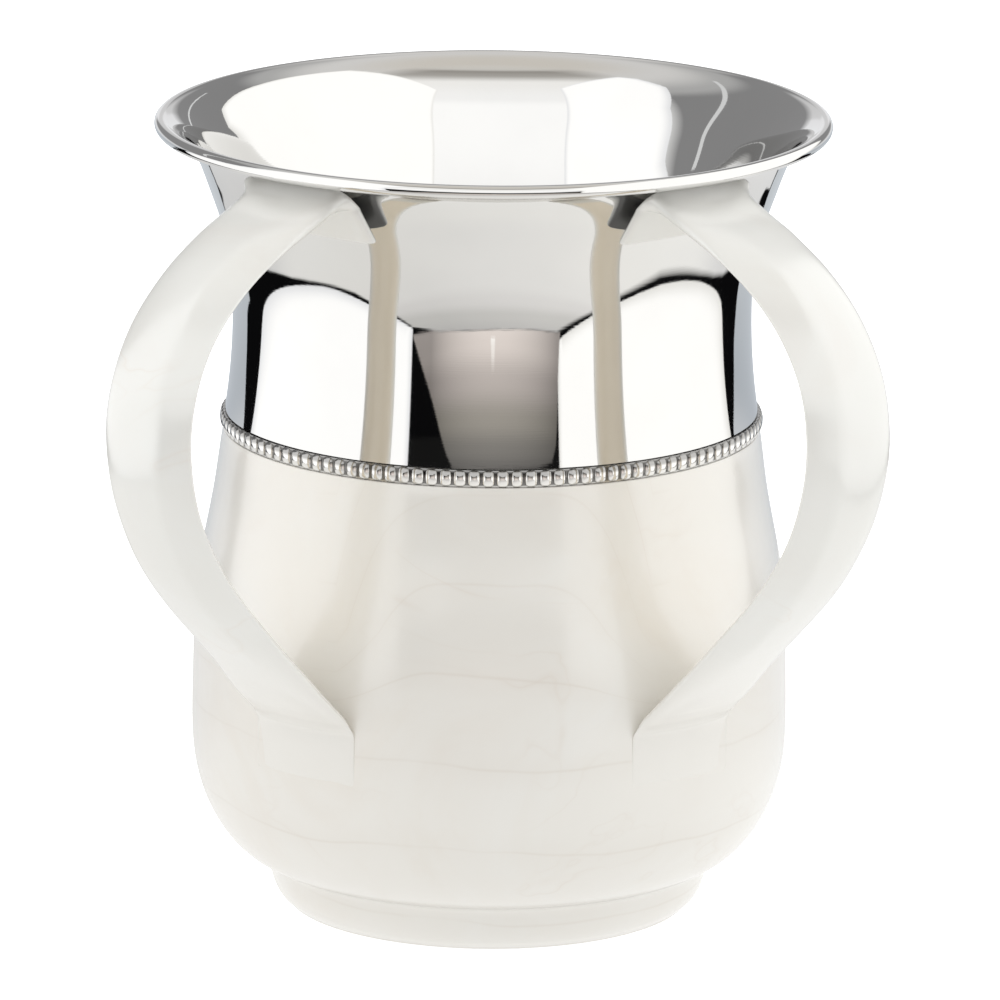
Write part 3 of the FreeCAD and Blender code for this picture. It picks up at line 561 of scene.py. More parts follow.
# weld nuggets of the lower tabs: thin lenses between the cup sheet and the tab, under the enamel
verts, faces = [], []
for word, side in SIDES:
    rings = [(51.05, 1.5), (51.08, 2.1), (51.20, 2.4), (51.70, 2.4), (51.76, 2.15), (51.78, 1.5)]
    pts = [(s_, r_ * math.cos(a), 36.9 + r_ * math.sin(a)) for s_, r_ in rings for a in np.linspace(0, 2 * math.pi, 33)[:-1]]
    lens_faces(rings, len(verts), faces)
    verts += place(pts, side)
nuggets_low = mesh_object("lower_weld_nuggets", verts, faces, 40.0)

# ------------------------------------------------------------------------------------------------
# materials
# ------------------------------------------------------------------------------------------------


def new_mat(name):
    m = bpy.data.materials.new(name)
    m.use_nodes = True
    nt = m.node_tree
    nt.nodes.clear()
    out = nt.nodes.new("ShaderNodeOutputMaterial")
    b = nt.nodes.new("ShaderNodeBsdfPrincipled")
    nt.links.new(b.outputs[0], out.inputs[0])
    return m, nt, b


def node(nt, kind, **kw):
    n = nt.nodes.new(kind)
    for k, v in kw.items():
        if k in n.inputs:
            n.inputs[k].default_value = v
        else:
            setattr(n, k, v)
    return n


def ramp(nt, fac, stops):
    r = nt.nodes.new("ShaderNodeValToRGB")
    r.color_ramp.interpolation = "EASE"
    els = r.color_ramp.elements
    els[0].position, els[0].color = stops[0][0], (*stops[0][1], 1)
    els[1].position, els[1].color = stops[-1][0], (*stops[-1][1], 1)
    for p, c in stops[1:-1]:
        e = els.new(p)
        e.color = (*c, 1)
    nt.links.new(fac, r.inputs[0])
    return r


def mapped(nt, scale=(1, 1, 1)):
    tc = nt.nodes.new("ShaderNodeTexCoord")
    mp = nt.nodes.new("ShaderNodeMapping")
    mp.inputs["Scale"].default_value = scale
    nt.links.new(tc.outputs["Object"], mp.inputs[0])
    return mp.outputs[0]


def steel(name, base, rough, spun=True, smudge=0.03):
    m, nt, b = new_mat(name)
    b.inputs["Metallic"].default_value = 1.0
    # faint cloudiness of a polished sheet
    n1 = node(nt, "ShaderNodeTexNoise", Scale=38.0, Detail=4.0, Roughness=0.55)
    nt.links.new(mapped(nt), n1.inputs["Vector"])
    r1 = ramp(nt, n1.outputs["Fac"], [(0.30, tuple(c * 0.975 for c in base)), (0.70, tuple(min(1, c * 1.01) for c in base))])
    nt.links.new(r1.outputs[0], b.inputs["Base Color"])
    # polishing marks run round the cup: stretched noise in (radius, height)
    n2 = node(nt, "ShaderNodeTexNoise", Scale=1.0, Detail=3.0, Roughness=0.6)
    nt.links.new(mapped(nt, (60, 60, 5200) if spun else (900, 900, 900)), n2.inputs["Vector"])
    mr = nt.nodes.new("ShaderNodeMapRange")
    mr.inputs["From Min"].default_value, mr.inputs["From Max"].default_value = 0.35, 0.75
    mr.inputs["To Min"].default_value, mr.inputs["To Max"].default_value = rough, rough + smudge
    n3 = node(nt, "ShaderNodeTexNoise", Scale=22.0, Detail=5.0, Roughness=0.6, Distortion=0.6)
    nt.links.new(mapped(nt), n3.inputs["Vector"])
    nt.links.new(n3.outputs["Fac"], mr.inputs["Value"])
    nt.links.new(mr.outputs[0], b.inputs["Roughness"])
    bp = node(nt, "ShaderNodeBump", Strength=0.035, Distance=0.00004)
    nt.links.new(n2.outputs["Fac"], bp.inputs["Height"])
    nt.links.new(bp.outputs[0], b.inputs["Normal"])
    return m


def pearl(name, tones, coat_rough, rough, inside=None, foot=None, reflection_arcs_and_flow=False):
    m, nt, b = new_mat(name)
    co = mapped(nt)
    # slow clouds of the pearl pigment
    n1 = node(nt, "ShaderNodeTexNoise", Scale=26.0, Detail=5.0, Roughness=0.6, Distortion=1.1)
    nt.links.new(co, n1.inputs["Vector"])
    clouds = ramp(nt, n1.outputs["Fac"], [(0.30, tones[0]), (0.52, tones[1]), (0.74, tones[2])])
    # thin warm flow lines: where a slow noise crosses a few levels
    n2 = node(nt, "ShaderNodeTexNoise", Scale=12.0, Detail=3.0, Roughness=0.5, Distortion=2.4)
    nt.links.new(mapped(nt, (1.0, 1.0, 1.9)), n2.inputs["Vector"])
    mul = node(nt, "ShaderNodeMath", operation="MULTIPLY")
    mul.inputs[1].default_value = 6.0
    nt.links.new(n2.outputs["Fac"], mul.inputs[0])
    pp = node(nt, "ShaderNodeMath", operation="PINGPONG")
    pp.inputs[1].default_value = 0.5
    nt.links.new(mul.outputs[0], pp.inputs[0])
    line = ramp(nt, pp.outputs[0], [(0.0, (1, 1, 1)), (0.05, (0.35, 0.35, 0.35)), (0.14, (0, 0, 0))])
    n3 = node(nt, "ShaderNodeTexNoise", Scale=30.0, Detail=2.0)
    nt.links.new(co, n3.inputs["Vector"])
    gate = ramp(nt, n3.outputs["Fac"], [(0.50, (0, 0, 0)), (0.72, (0.50, 0.50, 0.50))])
    lm = node(nt, "ShaderNodeMath", operation="MULTIPLY")
    nt.links.new(line.outputs[0], lm.inputs[0])
    nt.links.new(gate.outputs[0], lm.inputs[1])
    mix = node(nt, "ShaderNodeMix", data_type="RGBA")
    nt.links.new(lm.outputs[0], mix.inputs[0])
    nt.links.new(clouds.outputs[0], mix.inputs[6])
    mix.inputs[7].default_value = (0.80, 0.735, 0.655, 1)
    colour = mix.outputs[2]
    sp_ = nt.nodes.new("ShaderNodeSeparateXYZ")
    nt.links.new(mapped(nt, (1000, 1000, 1000)), sp_.inputs[0])

    def calc(op, a_, b_=None, c_=None):
        m_ = node(nt, "ShaderNodeMath", operation=op)
        for slot_, val in enumerate((a_, b_, c_)):
            if val is None:
                continue
            if isinstance(val, (int, float)):
                m_.inputs[slot_].default_value = val
            else:
                nt.links.new(val, m_.inputs[slot_])
        return m_.outputs[0]

    def span(value, lo, hi, to_lo=0.0, to_hi=1.0):
        m_ = nt.nodes.new("ShaderNodeMapRange")
        for key, val in (("From Min", lo), ("From Max", hi), ("To Min", to_lo), ("To Max", to_hi)):
            m_.inputs[key].default_value = val
        nt.links.new(value, m_.inputs["Value"])
        return m_.outputs[0]

    if reflection_arcs_and_flow:
        # fine tan lines: arches on the upper belly, painted where the belly's reflection arcs fall (painted
        # reflection), that settle into level flow lines of the enamel lower down
        u2 = calc("POWER", calc("ABSOLUTE", calc("MULTIPLY", sp_.outputs["X"], 1 / 20.9)), 4.0)
        lift = calc("MULTIPLY", calc("MINIMUM", calc("MULTIPLY", u2, 12.0), 33.0), span(sp_.outputs["Z"], 44.0, 60.0))
        nf = node(nt, "ShaderNodeTexNoise", Scale=20.0, Detail=3.0, Roughness=0.45)
        nt.links.new(co, nf.inputs["Vector"])
        level_ = calc("ADD", calc("ADD", sp_.outputs["Z"], lift), calc("MULTIPLY", nf.outputs["Fac"], 9.0))
        near = calc("PINGPONG", calc("ADD", level_, -11.0), 7.75)
        fine = calc("POWER", span(near, 0.0, 0.9, 1.0, 0.0), 2.0)
        broad = calc("MULTIPLY", span(near, 0.0, 4.0, 1.0, 0.0), 0.30)
        ng = node(nt, "ShaderNodeTexNoise", Scale=32.0, Detail=2.0)
        nt.links.new(co, ng.inputs["Vector"])
        amount = calc("MULTIPLY", calc("MAXIMUM", fine, broad), span(ng.outputs["Fac"], 0.35, 0.62, 0.12, 0.62))
        sides_ = calc("MAXIMUM", span(calc("ABSOLUTE", sp_.outputs["X"]), 25.0, 31.0, 1.0, 0.0), span(sp_.outputs["Z"], 46.0, 56.0, 1.0, 0.0))
        amount = calc("MULTIPLY", amount, sides_)
        tan = node(nt, "ShaderNodeMix", data_type="RGBA")
        nt.links.new(amount, tan.inputs[0])
        nt.links.new(colour, tan.inputs[6])
        tan.inputs[7].default_value = (0.765, 0.705, 0.625, 1)
        colour = tan.outputs[2]
    if foot:
        # the same tone as the body where the handle melts into it
        low_ = node(nt, "ShaderNodeMix", data_type="RGBA")
        nt.links.new(span(sp_.outputs["Z"], 44.0, 62.0, 1.0, 0.0), low_.inputs[0])
        nt.links.new(colour, low_.inputs[6])
        low_.inputs[7].default_value = (*foot, 1)
        colour = low_.outputs[2]
    if inside:
        # painted shade: a warm tan on the side that faces the cup, standing in for its shadow and the warm light
        # bounced off the cup
        at = node(nt, "ShaderNodeAttribute", attribute_name="facing_cup")
        cup_side_painted_shade = node(nt, "ShaderNodeMix", data_type="RGBA")
        nt.links.new(at.outputs["Fac"], cup_side_painted_shade.inputs[0])
        nt.links.new(colour, cup_side_painted_shade.inputs[6])
        cup_side_painted_shade.inputs[7].default_value = (*inside, 1)
        colour = cup_side_painted_shade.outputs[2]
        # painted shade: near-black on the back of the upper tab, standing in for the shadow in the gap between tab and
        # neck
        ab = node(nt, "ShaderNodeAttribute", attribute_name="tab_back")
        tab_back_shade_mix = node(nt, "ShaderNodeMix", data_type="RGBA")
        nt.links.new(ab.outputs["Fac"], tab_back_shade_mix.inputs[0])
        nt.links.new(colour, tab_back_shade_mix.inputs[6])
        tab_back_shade_mix.inputs[7].default_value = (0.085, 0.082, 0.078, 1)
        colour = tab_back_shade_mix.outputs[2]
    nt.links.new(colour, b.inputs["Base Color"])
    b.inputs["Roughness"].default_value = rough
    b.inputs["IOR"].default_value = 2.15
    b.inputs["Specular IOR Level"].default_value = 0.5
    b.inputs["Specular Tint"].default_value = (0.93, 0.97, 1.0, 1)
    b.inputs["Coat Weight"].default_value = 1.0
    b.inputs["Coat Roughness"].default_value = coat_rough
    b.inputs["Coat IOR"].default_value = 1.6
    b.inputs["Subsurface Weight"].default_value = 0.0
    # orange peel and tiny runs
    n4 = node(nt, "ShaderNodeTexNoise", Scale=260.0, Detail=2.0, Roughness=0.5)
    nt.links.new(co, n4.inputs["Vector"])
    n5 = node(nt, "ShaderNodeTexNoise", Scale=60.0, Detail=2.0, Roughness=0.5)
    nt.links.new(co, n5.inputs["Vector"])
    add = node(nt, "ShaderNodeMath", operation="MULTIPLY_ADD")
    nt.links.new(n5.outputs["Fac"], add.inputs[0])
    add.inputs[1].default_value = 3.0
    nt.links.new(n4.outputs["Fac"], add.inputs[2])
    bp = node(nt, "ShaderNodeBump", Strength=0.22, Distance=0.00010)
    nt.links.new(add.outputs[0], bp.inputs["Height"])
    nt.links.new(bp.outputs[0], b.inputs["Normal"])
    nt.links.new(bp.outputs[0], b.inputs["Coat Normal"])
    return m


mirror = steel("polished_sheet", (0.700, 0.695, 0.682), 0.018)
bead_metal = steel("polished_beads", (0.78, 0.77, 0.75), 0.09, spun=False, smudge=0.06)
# painted shade: the metal is darker in the deep grooves between the beads and darker again over the upper part of each
# bead, standing in for a dark reflection along their top edges; the bands above and below the beads stay lighter
nt = bead_metal.node_tree
b = next(n for n in nt.nodes if n.type == "BSDF_PRINCIPLED")
sep = nt.nodes.new("ShaderNodeSeparateXYZ")
nt.links.new(mapped(nt, (1000, 1000, 1000)), sep.inputs[0])
flat = nt.nodes.new("ShaderNodeCombineXYZ")
nt.links.new(sep.outputs["X"], flat.inputs["X"])
nt.links.new(sep.outputs["Y"], flat.inputs["Y"])
dist = node(nt, "ShaderNodeVectorMath", operation="LENGTH")
nt.links.new(flat.outputs[0], dist.inputs[0])
groove = nt.nodes.new("ShaderNodeMapRange")
groove.inputs["From Min"].default_value, groove.inputs["From Max"].default_value = 46.60, 46.92
nt.links.new(dist.outputs["Value"], groove.inputs["Value"])
painted_bead_shade = node(nt, "ShaderNodeMix", data_type="RGBA")
height_ = node(nt, "ShaderNodeMath", operation="SUBTRACT")
nt.links.new(sep.outputs["Z"], height_.inputs[0])
height_.inputs[1].default_value = zc
off_ = node(nt, "ShaderNodeMath", operation="ABSOLUTE")
nt.links.new(height_.outputs[0], off_.inputs[0])
rims_ = nt.nodes.new("ShaderNodeMapRange")
for key, val in (("From Min", 1.05), ("From Max", 1.30), ("To Min", 0.0), ("To Max", 0.72)):
    rims_.inputs[key].default_value = val
nt.links.new(off_.outputs[0], rims_.inputs["Value"])
# painted dark reflection: less of the lit metal over the upper part of each bead
upper_painted_dark = nt.nodes.new("ShaderNodeMapRange")
for key, val in (("From Min", 0.15), ("From Max", 0.65), ("To Min", 1.0), ("To Max", 0.45)):
    upper_painted_dark.inputs[key].default_value = val
nt.links.new(height_.outputs[0], upper_painted_dark.inputs["Value"])
unshaded_ = node(nt, "ShaderNodeMath", operation="MAXIMUM")
nt.links.new(groove.outputs[0], unshaded_.inputs[0])
nt.links.new(rims_.outputs[0], unshaded_.inputs[1])
both_ = node(nt, "ShaderNodeMath", operation="MULTIPLY")
nt.links.new(unshaded_.outputs[0], both_.inputs[0])
nt.links.new(upper_painted_dark.outputs[0], both_.inputs[1])
nt.links.new(both_.outputs[0], painted_bead_shade.inputs[0])
painted_bead_shade.inputs[6].default_value = (0.06, 0.057, 0.054, 1)
nt.links.new(b.inputs["Base Color"].links[0].from_socket, painted_bead_shade.inputs[7])
nt.links.new(painted_bead_shade.outputs[2], b.inputs["Base Color"])
dull = steel("dull_solder", (0.50, 0.50, 0.50), 0.42, spun=False, smudge=0.15)
bare_steel_and_back_shade = steel("handle_tube_steel", (0.55, 0.55, 0.55), 0.30, spun=False, smudge=0.1)
nuggets = steel("weld_nugget_steel", (0.48, 0.47, 0.45), 0.38, spun=False, smudge=0.1)
# the body's tan arches are painted reflection, its lower level lines are flow lines
body_pearl = pearl("pearl_enamel_body", ((0.858, 0.815, 0.745), (0.878, 0.848, 0.790), (0.890, 0.870, 0.822)), 0.15, 0.38, reflection_arcs_and_flow=True)
# inside: the warm tan painted on the cup side of the handles as shade
handle_pearl = pearl("pearl_enamel_handles", ((0.842, 0.820, 0.771), (0.862, 0.852, 0.809), (0.876, 0.871, 0.836)), 0.19, 0.38,
                     inside=(0.99, 0.885, 0.715), foot=(0.882, 0.855, 0.800))


def dress(ob, mat, slot, *nodes_):
    ob.data.materials.clear()
    ob.data.materials.append(mat)
    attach(ob, "root")
    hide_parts(*nodes_)


dress(shell, mirror, "polished_steel", "cup_shell")
dress(enamel, body_pearl, "pearl_enamel", "body_enamel")
dress(beads, bead_metal, "bead_silver", "beaded_ring")
for word, side in SIDES:
    dress(handles[word], handle_pearl, "handle_enamel", word + "_handle_enamel")
    dress(tubes[word], bare_steel_and_back_shade, "handle_steel", word + "_handle")
dress(nuggets_low, nuggets, "weld_steel", "lower_spot_welds")
for name, mat in (("ring_solder", dull), ("upper_spot_welds", nuggets)):
    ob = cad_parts[name]
    ob.data.materials.clear()
    ob.data.materials.append(mat)

# ------------------------------------------------------------------------------------------------
# studio: pale floor, soft light, white panels and dark gaps that only the gloss sees
# ------------------------------------------------------------------------------------------------
scene = bpy.context.scene
scene.view_settings.view_transform = "Standard"
scene.view_settings.look = "None"
scene.view_settings.exposure = 0.0


def emit_mat(name, colour, strength=1.0, build=None):
    m = bpy.data.materials.new(name)
    m.use_nodes = True
    nt = m.node_tree
    nt.nodes.clear()
    out = nt.nodes.new("ShaderNodeOutputMaterial")
    e = nt.nodes.new("ShaderNodeEmission")
    e.inputs[0].default_value = (*colour, 1)
    e.inputs[1].default_value = strength
    nt.links.new(e.outputs[0], out.inputs[0])
    if build:
        build(nt, e)
    return m


def card(name, pts, mat):
    """A flat panel seen only in reflections."""
    me = bpy.data.meshes.new(name)
    me.from_pydata([tuple(c * MM for c in p) for p in pts], [], [tuple(range(len(pts)))])
    ob = bpy.data.objects.new(name, me)
    scene.collection.objects.link(ob)
    me.materials.append(mat)
    ob.visible_camera = False
    ob.visible_diffuse = False
    ob.visible_shadow = False
    ob.visible_transmission = False
    ob.visible_volume_scatter = False
    return ob


# floor
me = bpy.data.meshes.new("floor")
S = 12.0
me.from_pydata([(-S, -S, -0.00002), (S, -S, -0.00002), (S, S, -0.00002), (-S, S, -0.00002)], [], [(0, 1, 2, 3)])
floor = bpy.data.objects.new("floor", me)
scene.collection.objects.link(floor)
fm = bpy.data.materials.new("floor_white")
fm.use_nodes = True
fb = fm.node_tree.nodes["Principled BSDF"]
fb.inputs["Base Color"].default_value = (0.93, 0.93, 0.93, 1)
fb.inputs["Roughness"].default_value = 0.8
fb.inputs["Specular IOR Level"].default_value = 0.2
fb.inputs["Emission Color"].default_value = (1, 1, 1, 1)
fb.inputs["Emission Strength"].default_value = 0.75
me.materials.append(fm)
floor.visible_diffuse = False
floor.visible_glossy = False

black = emit_mat("card_black", (0.004, 0.004, 0.0045))
# the table as the gloss sees it: bright in the middle, darker to the front and fading out at its edges
TABLE = [(-192, -278), (-136, -324), (-59, -332), (13, -329), (84, -321), (160, -319), (181, -206), (183, -131), (191, -91), (198, -53),
         (218, -13), (244, 40), (262, 90), (266, 134), (245, 185), (216, 226), (202, 240), (196, 285),
         (-187, 285), (-222, 238), (-245, 170), (-250, 139), (-253, 105), (-251, 67), (-248, 29),
         (-233, -19), (-211, -68), (-197, -107), (-197, -145), (-193, -231)]


def table_light(nt, e):
    tc = nt.nodes.new("ShaderNodeTexCoord")
    sp = nt.nodes.new("ShaderNodeSeparateXYZ")
    nt.links.new(tc.outputs["Object"], sp.inputs[0])
    along = nt.nodes.new("ShaderNodeMapRange")
    along.inputs["From Min"].default_value, along.inputs["From Max"].default_value = -0.340, 0.460
    nt.links.new(sp.outputs["Y"], along.inputs["Value"])
    r = ramp(nt, along.outputs[0], [(0.0, (0.66, 0.65, 0.64)), (0.11, (0.74, 0.73, 0.71)), (0.18, (0.90, 0.885, 0.87)), (0.225, (0.98, 0.97, 0.95)),
                                   (0.30, (1.03, 1.02, 0.99)), (0.43, (1.06, 1.055, 1.03)), (0.58, (0.86, 0.86, 0.86)), (1.0, (0.70, 0.71, 0.72))])
    across = nt.nodes.new("ShaderNodeMapRange")
    across.inputs["From Min"].default_value, across.inputs["From Max"].default_value = -0.1, 0.1
    across.inputs["To Min"].default_value, across.inputs["To Max"].default_value = 0.97, 1.10
    nt.links.new(sp.outputs["X"], across.inputs["Value"])
    at = node(nt, "ShaderNodeAttribute", attribute_name="inboard")
    soft_ = node(nt, "ShaderNodeMath", operation="POWER")
    soft_.inputs[1].default_value = 0.8
    nt.links.new(at.outputs["Fac"], soft_.inputs[0])
    st = node(nt, "ShaderNodeMath", operation="MULTIPLY")
    nt.links.new(across.outputs[0], st.inputs[0])
    nt.links.new(soft_.outputs[0], st.inputs[1])
    nt.links.new(r.outputs[0], e.inputs[0])
    nt.links.new(st.outputs[0], e.inputs[1])


outer_ = np.array(TABLE, float)
turn_in = np.roll(outer_, -1, axis=0) - np.roll(outer_, 1, axis=0)
turn_in /= np.linalg.norm(turn_in, axis=1)[:, None]
width_in = np.where((outer_[:, 0] > 150) & (outer_[:, 1] < 210), 15.0, 6.0)
inner_ = outer_ + np.c_[-turn_in[:, 1], turn_in[:, 0]] * width_in[:, None]
n = len(outer_)
me = bpy.data.meshes.new("table_card")
me.from_pydata([(x * MM, y * MM, 0.3 * MM) for x, y in np.vstack([outer_, inner_])], [],
               [(i, (i + 1) % n, n + (i + 1) % n, n + i) for i in range(n)] + [tuple(range(n, 2 * n))])
at_ = me.attributes.new("inboard", "FLOAT", "POINT")
at_.data.foreach_set("value", [0.02] * n + [1.0] * n)
ob = bpy.data.objects.new("table_card", me)
scene.collection.objects.link(ob)
me.materials.append(emit_mat("card_table", (1, 1, 1), 1.0, table_light))
ob.visible_camera = ob.visible_diffuse = ob.visible_shadow = ob.visible_transmission = ob.visible_volume_scatter = False

card("gap_around", [(-4000, -4000, -30), (4000, -4000, -30), (4000, 2400, -30), (872, 612, -30), (653, 509, -30), (533, 450, -30), (469, 413, -30),
                    (416, 397, -30), (360, 367, -30), (262, 318, -30), (244, 340, -30), (236, 364, -30),
                    (-222, 364, -30), (-300, 372, -30), (-399, 381, -30), (-399, 430, -30), (-433, 461, -30), (-487, 502, -30),
                    (-594, 569, -30), (-727, 657, -30), (-4000, 3000, -30)], black)



def panel(name, x, outline, edge_colour, mid_colour, width):
    """A light box: a little dimmer towards its edges."""
    def build(nt, e):
        at = node(nt, "ShaderNodeAttribute", attribute_name="inboard")
        r = ramp(nt, at.outputs["Fac"], [(0.0, edge_colour), (1.0, mid_colour)])
        nt.links.new(r.outputs[0], e.inputs[0])
    out_ = np.array(outline, float)
    along_ = np.roll(out_, -1, axis=0) - np.roll(out_, 1, axis=0)
    along_ /= np.linalg.norm(along_, axis=1)[:, None]
    nrm = np.c_[-along_[:, 1], along_[:, 0]]
    rings = [out_ + nrm * width * f for f in (0.0, 0.35, 0.7, 1.0)]
    m_ = len(out_)
    me = bpy.data.meshes.new(name)
    fcs = [(r_ * m_ + i, r_ * m_ + (i + 1) % m_, (r_ + 1) * m_ + (i + 1) % m_, (r_ + 1) * m_ + i) for r_ in range(3) for i in range(m_)]
    me.from_pydata([(x * MM, y * MM, z * MM) for y, z in np.vstack(rings)], [], fcs + [tuple(range(3 * m_, 4 * m_))])
    a_ = me.attributes.new("inboard", "FLOAT", "POINT")
    a_.data.foreach_set("value", [0.0] * m_ + [0.45] * m_ + [0.8] * m_ + [1.0] * m_)
    ob = bpy.data.objects.new(name, me)
    scene.collection.objects.link(ob)
    me.materials.append(emit_mat(name + "_white", (1, 1, 1), 1.0, build))
    ob.visible_camera = ob.visible_diffuse = ob.visible_shadow = ob.visible_transmission = ob.visible_volume_scatter = False


panel("panel_left", -240, [(y, z) for y, z in (
    (-347, -27), (-314, -26), (-281, -25), (-221, -23), (-169, -21), (-133, -20), (-104, -18), (-75, -14), (-47, -7), (-13, 4), (23, 15),
    (47, 23), (74, 32), (95, 39), (110, 44), (119, 49), (123, 56), (124, 66), (124, 105), (90, 140), (10, 185), (-6, 215), (-3, 281), (22, 350), (52, 436),
    (40, 560), (0, 620), (-347, 620))], (1.12, 1.13, 1.16), (1.45, 1.45, 1.45), 34.0)
panel("panel_right", 220, [(y, z) for y, z in (
    (-436, -27), (-401, -26), (-350, -24), (-297, -22), (-245, -21), (-195, -20), (-152, -17), (-102, -12), (-57, -5), (-15, 6), (31, 20),
    (57, 30), (79, 40), (92, 48), (97, 57), (97, 68), (98, 105), (150, 150), (245, 200), (290, 280), (275, 400), (220, 520), (130, 640),
    (-436, 640))], (1.13, 1.12, 1.09), (1.45, 1.445, 1.43), 34.0)
card("stand", [(-240, 60, 195), (-240, 70, 195), (-240, 215, 400), (-240, 345, 575), (-240, 330, 580), (-240, 200, 405)],
     emit_mat("card_stand", (0.86, 0.87, 0.88), 1.0))
card("stand_right", [(220, 745, 190), (220, 560, 465), (220, 592, 470), (220, 790, 190)], emit_mat("card_stand_right", (0.86, 0.87, 0.88), 1.0))


def front_grey(nt, e):
    # brighter low in the middle, darker upwards and to the sides
    tc = nt.nodes.new("ShaderNodeTexCoord")
    sp = nt.nodes.new("ShaderNodeSeparateXYZ")
    nt.links.new(tc.outputs["Object"], sp.inputs[0])
    up = nt.nodes.new("ShaderNodeMapRange")
    up.inputs["From Min"].default_value, up.inputs["From Max"].default_value = -0.022, 0.112
    nt.links.new(sp.outputs["Z"], up.inputs["Value"])
    r = ramp(nt, up.outputs[0], [(0.0, (1.05, 0.96, 0.91)), (0.24, (1.00, 0.91, 0.86)), (0.455, (0.70, 0.635, 0.60)), (0.687, (0.46, 0.43, 0.385)),
                                 (0.873, (0.30, 0.285, 0.265)), (1.0, (0.22, 0.21, 0.20))])
    sq = node(nt, "ShaderNodeMath", operation="MULTIPLY")
    nt.links.new(sp.outputs["X"], sq.inputs[0])
    nt.links.new(sp.outputs["X"], sq.inputs[1])
    side = nt.nodes.new("ShaderNodeMapRange")
    side.inputs["From Min"].default_value, side.inputs["From Max"].default_value = 0.0, 0.034
    side.inputs["To Min"].default_value, side.inputs["To Max"].default_value = 1.0, 0.42
    nt.links.new(sq.outputs[0], side.inputs["Value"])
    nt.links.new(r.outputs[0], e.inputs[0])
    nt.links.new(side.outputs[0], e.inputs[1])


grey = emit_mat("card_front_grey", (0.4, 0.38, 0.36), 1.0, front_grey)
card("front_panel", [(x, -372, z) for x, z in (
    (-257, -24), (196, -24), (194, -10), (191, 5), (186, 31), (181, 66), (175, 90), (161, 107), (120, 112), (-60, 114), (-108, 113),
    (-128, 99), (-148, 79), (-163, 63), (-178, 49), (-196, 34), (-216, 18), (-235, 2), (-250, -12))], grey)


def glint_light(nt, e):
    tc = nt.nodes.new("ShaderNodeTexCoord")
    sp = nt.nodes.new("ShaderNodeSeparateXYZ")
    nt.links.new(tc.outputs["Object"], sp.inputs[0])
    up = nt.nodes.new("ShaderNodeMapRange")
    up.inputs["From Min"].default_value, up.inputs["From Max"].default_value = 0.0, 0.034
    nt.links.new(sp.outputs["Z"], up.inputs["Value"])
    r = ramp(nt, up.outputs[0], [(0.0, (1.30, 1.26, 1.22)), (0.5, (1.18, 1.12, 1.07)), (1.0, (0.80, 0.73, 0.69))])
    nt.links.new(r.outputs[0], e.inputs[0])


glow = emit_mat("card_highlight", (1.0, 0.98, 0.95), 1.0, glint_light)
card("front_glint", [(-10, -371, 0), (2, -371, 0), (0, -371, 33), (-7, -371, 33)], glow)

# world: even white light for the diffuse coat, and a dimmer room with a bright ceiling for the gloss
world = bpy.data.worlds.new("studio")
scene.world = world
world.use_nodes = True
wn = world.node_tree
wn.nodes.clear()
wo = wn.nodes.new("ShaderNodeOutputWorld")
bg_even = wn.nodes.new("ShaderNodeBackground")
bg_gloss = wn.nodes.new("ShaderNodeBackground")
bg_cam = wn.nodes.new("ShaderNodeBackground")
bg_cam.inputs[0].default_value = (1, 1, 1, 1)
bg_cam.inputs[1].default_value = 1.0
lp = wn.nodes.new("ShaderNodeLightPath")
tc = wn.nodes.new("ShaderNodeTexCoord")
sp = wn.nodes.new("ShaderNodeSeparateXYZ")
wn.links.new(tc.outputs["Generated"], sp.inputs[0])
level = wn.nodes.new("ShaderNodeMapRange")
level.inputs["From Min"].default_value, level.inputs["From Max"].default_value = -1.0, 1.0
wn.links.new(sp.outputs["Z"], level.inputs["Value"])
# soft light from above, table light from below
even = ramp(wn, level.outputs[0], [(0.0, (1.00, 0.99, 0.975)), (0.47, (0.94, 0.935, 0.92)), (0.53, (0.46, 0.46, 0.458)), (0.75, (0.66, 0.66, 0.655)),
                                   (1.0, (1.25, 1.245, 1.23))])
wn.links.new(even.outputs[0], bg_even.inputs[0])
# what the gloss sees to the sides and behind, by elevation
el = ramp(wn, level.outputs[0], [(0.35, (0.66, 0.70, 0.74)), (0.41, (0.56, 0.60, 0.65)), (0.45, (0.72, 0.75, 0.79)), (0.50, (0.93, 0.94, 0.96)),
                                 (0.575, (0.93, 0.93, 0.95)), (0.60, (0.76, 0.76, 0.77)), (0.70, (0.70, 0.70, 0.71)), (0.74, (0.31, 0.31, 0.315)), (0.80, (0.31, 0.31, 0.315)), (0.85, (0.55, 0.55, 0.55)),
                                 (0.93, (0.85, 0.84, 0.83)), (1.0, (0.80, 0.76, 0.70))])
el_side = ramp(wn, level.outputs[0], [(0.35, (0.66, 0.70, 0.74)), (0.41, (0.56, 0.60, 0.65)), (0.45, (0.72, 0.75, 0.79)), (0.495, (0.93, 0.94, 0.96)),
                                      (0.515, (0.60, 0.60, 0.61)), (0.54, (0.31, 0.31, 0.315)), (0.80, (0.31, 0.31, 0.315)), (0.85, (0.55, 0.55, 0.55)),
                                      (0.93, (0.85, 0.84, 0.83)), (1.0, (0.80, 0.76, 0.70))])
ax_ = node(wn, "ShaderNodeMath", operation="ABSOLUTE")
wn.links.new(sp.outputs["X"], ax_.inputs[0])
aside = wn.nodes.new("ShaderNodeMapRange")
aside.inputs["From Min"].default_value, aside.inputs["From Max"].default_value = 0.19, 0.26
wn.links.new(ax_.outputs[0], aside.inputs["Value"])
el_all = node(wn, "ShaderNodeMix", data_type="RGBA")
wn.links.new(aside.outputs[0], el_all.inputs[0])
wn.links.new(el.outputs[0], el_all.inputs[6])
wn.links.new(el_side.outputs[0], el_all.inputs[7])
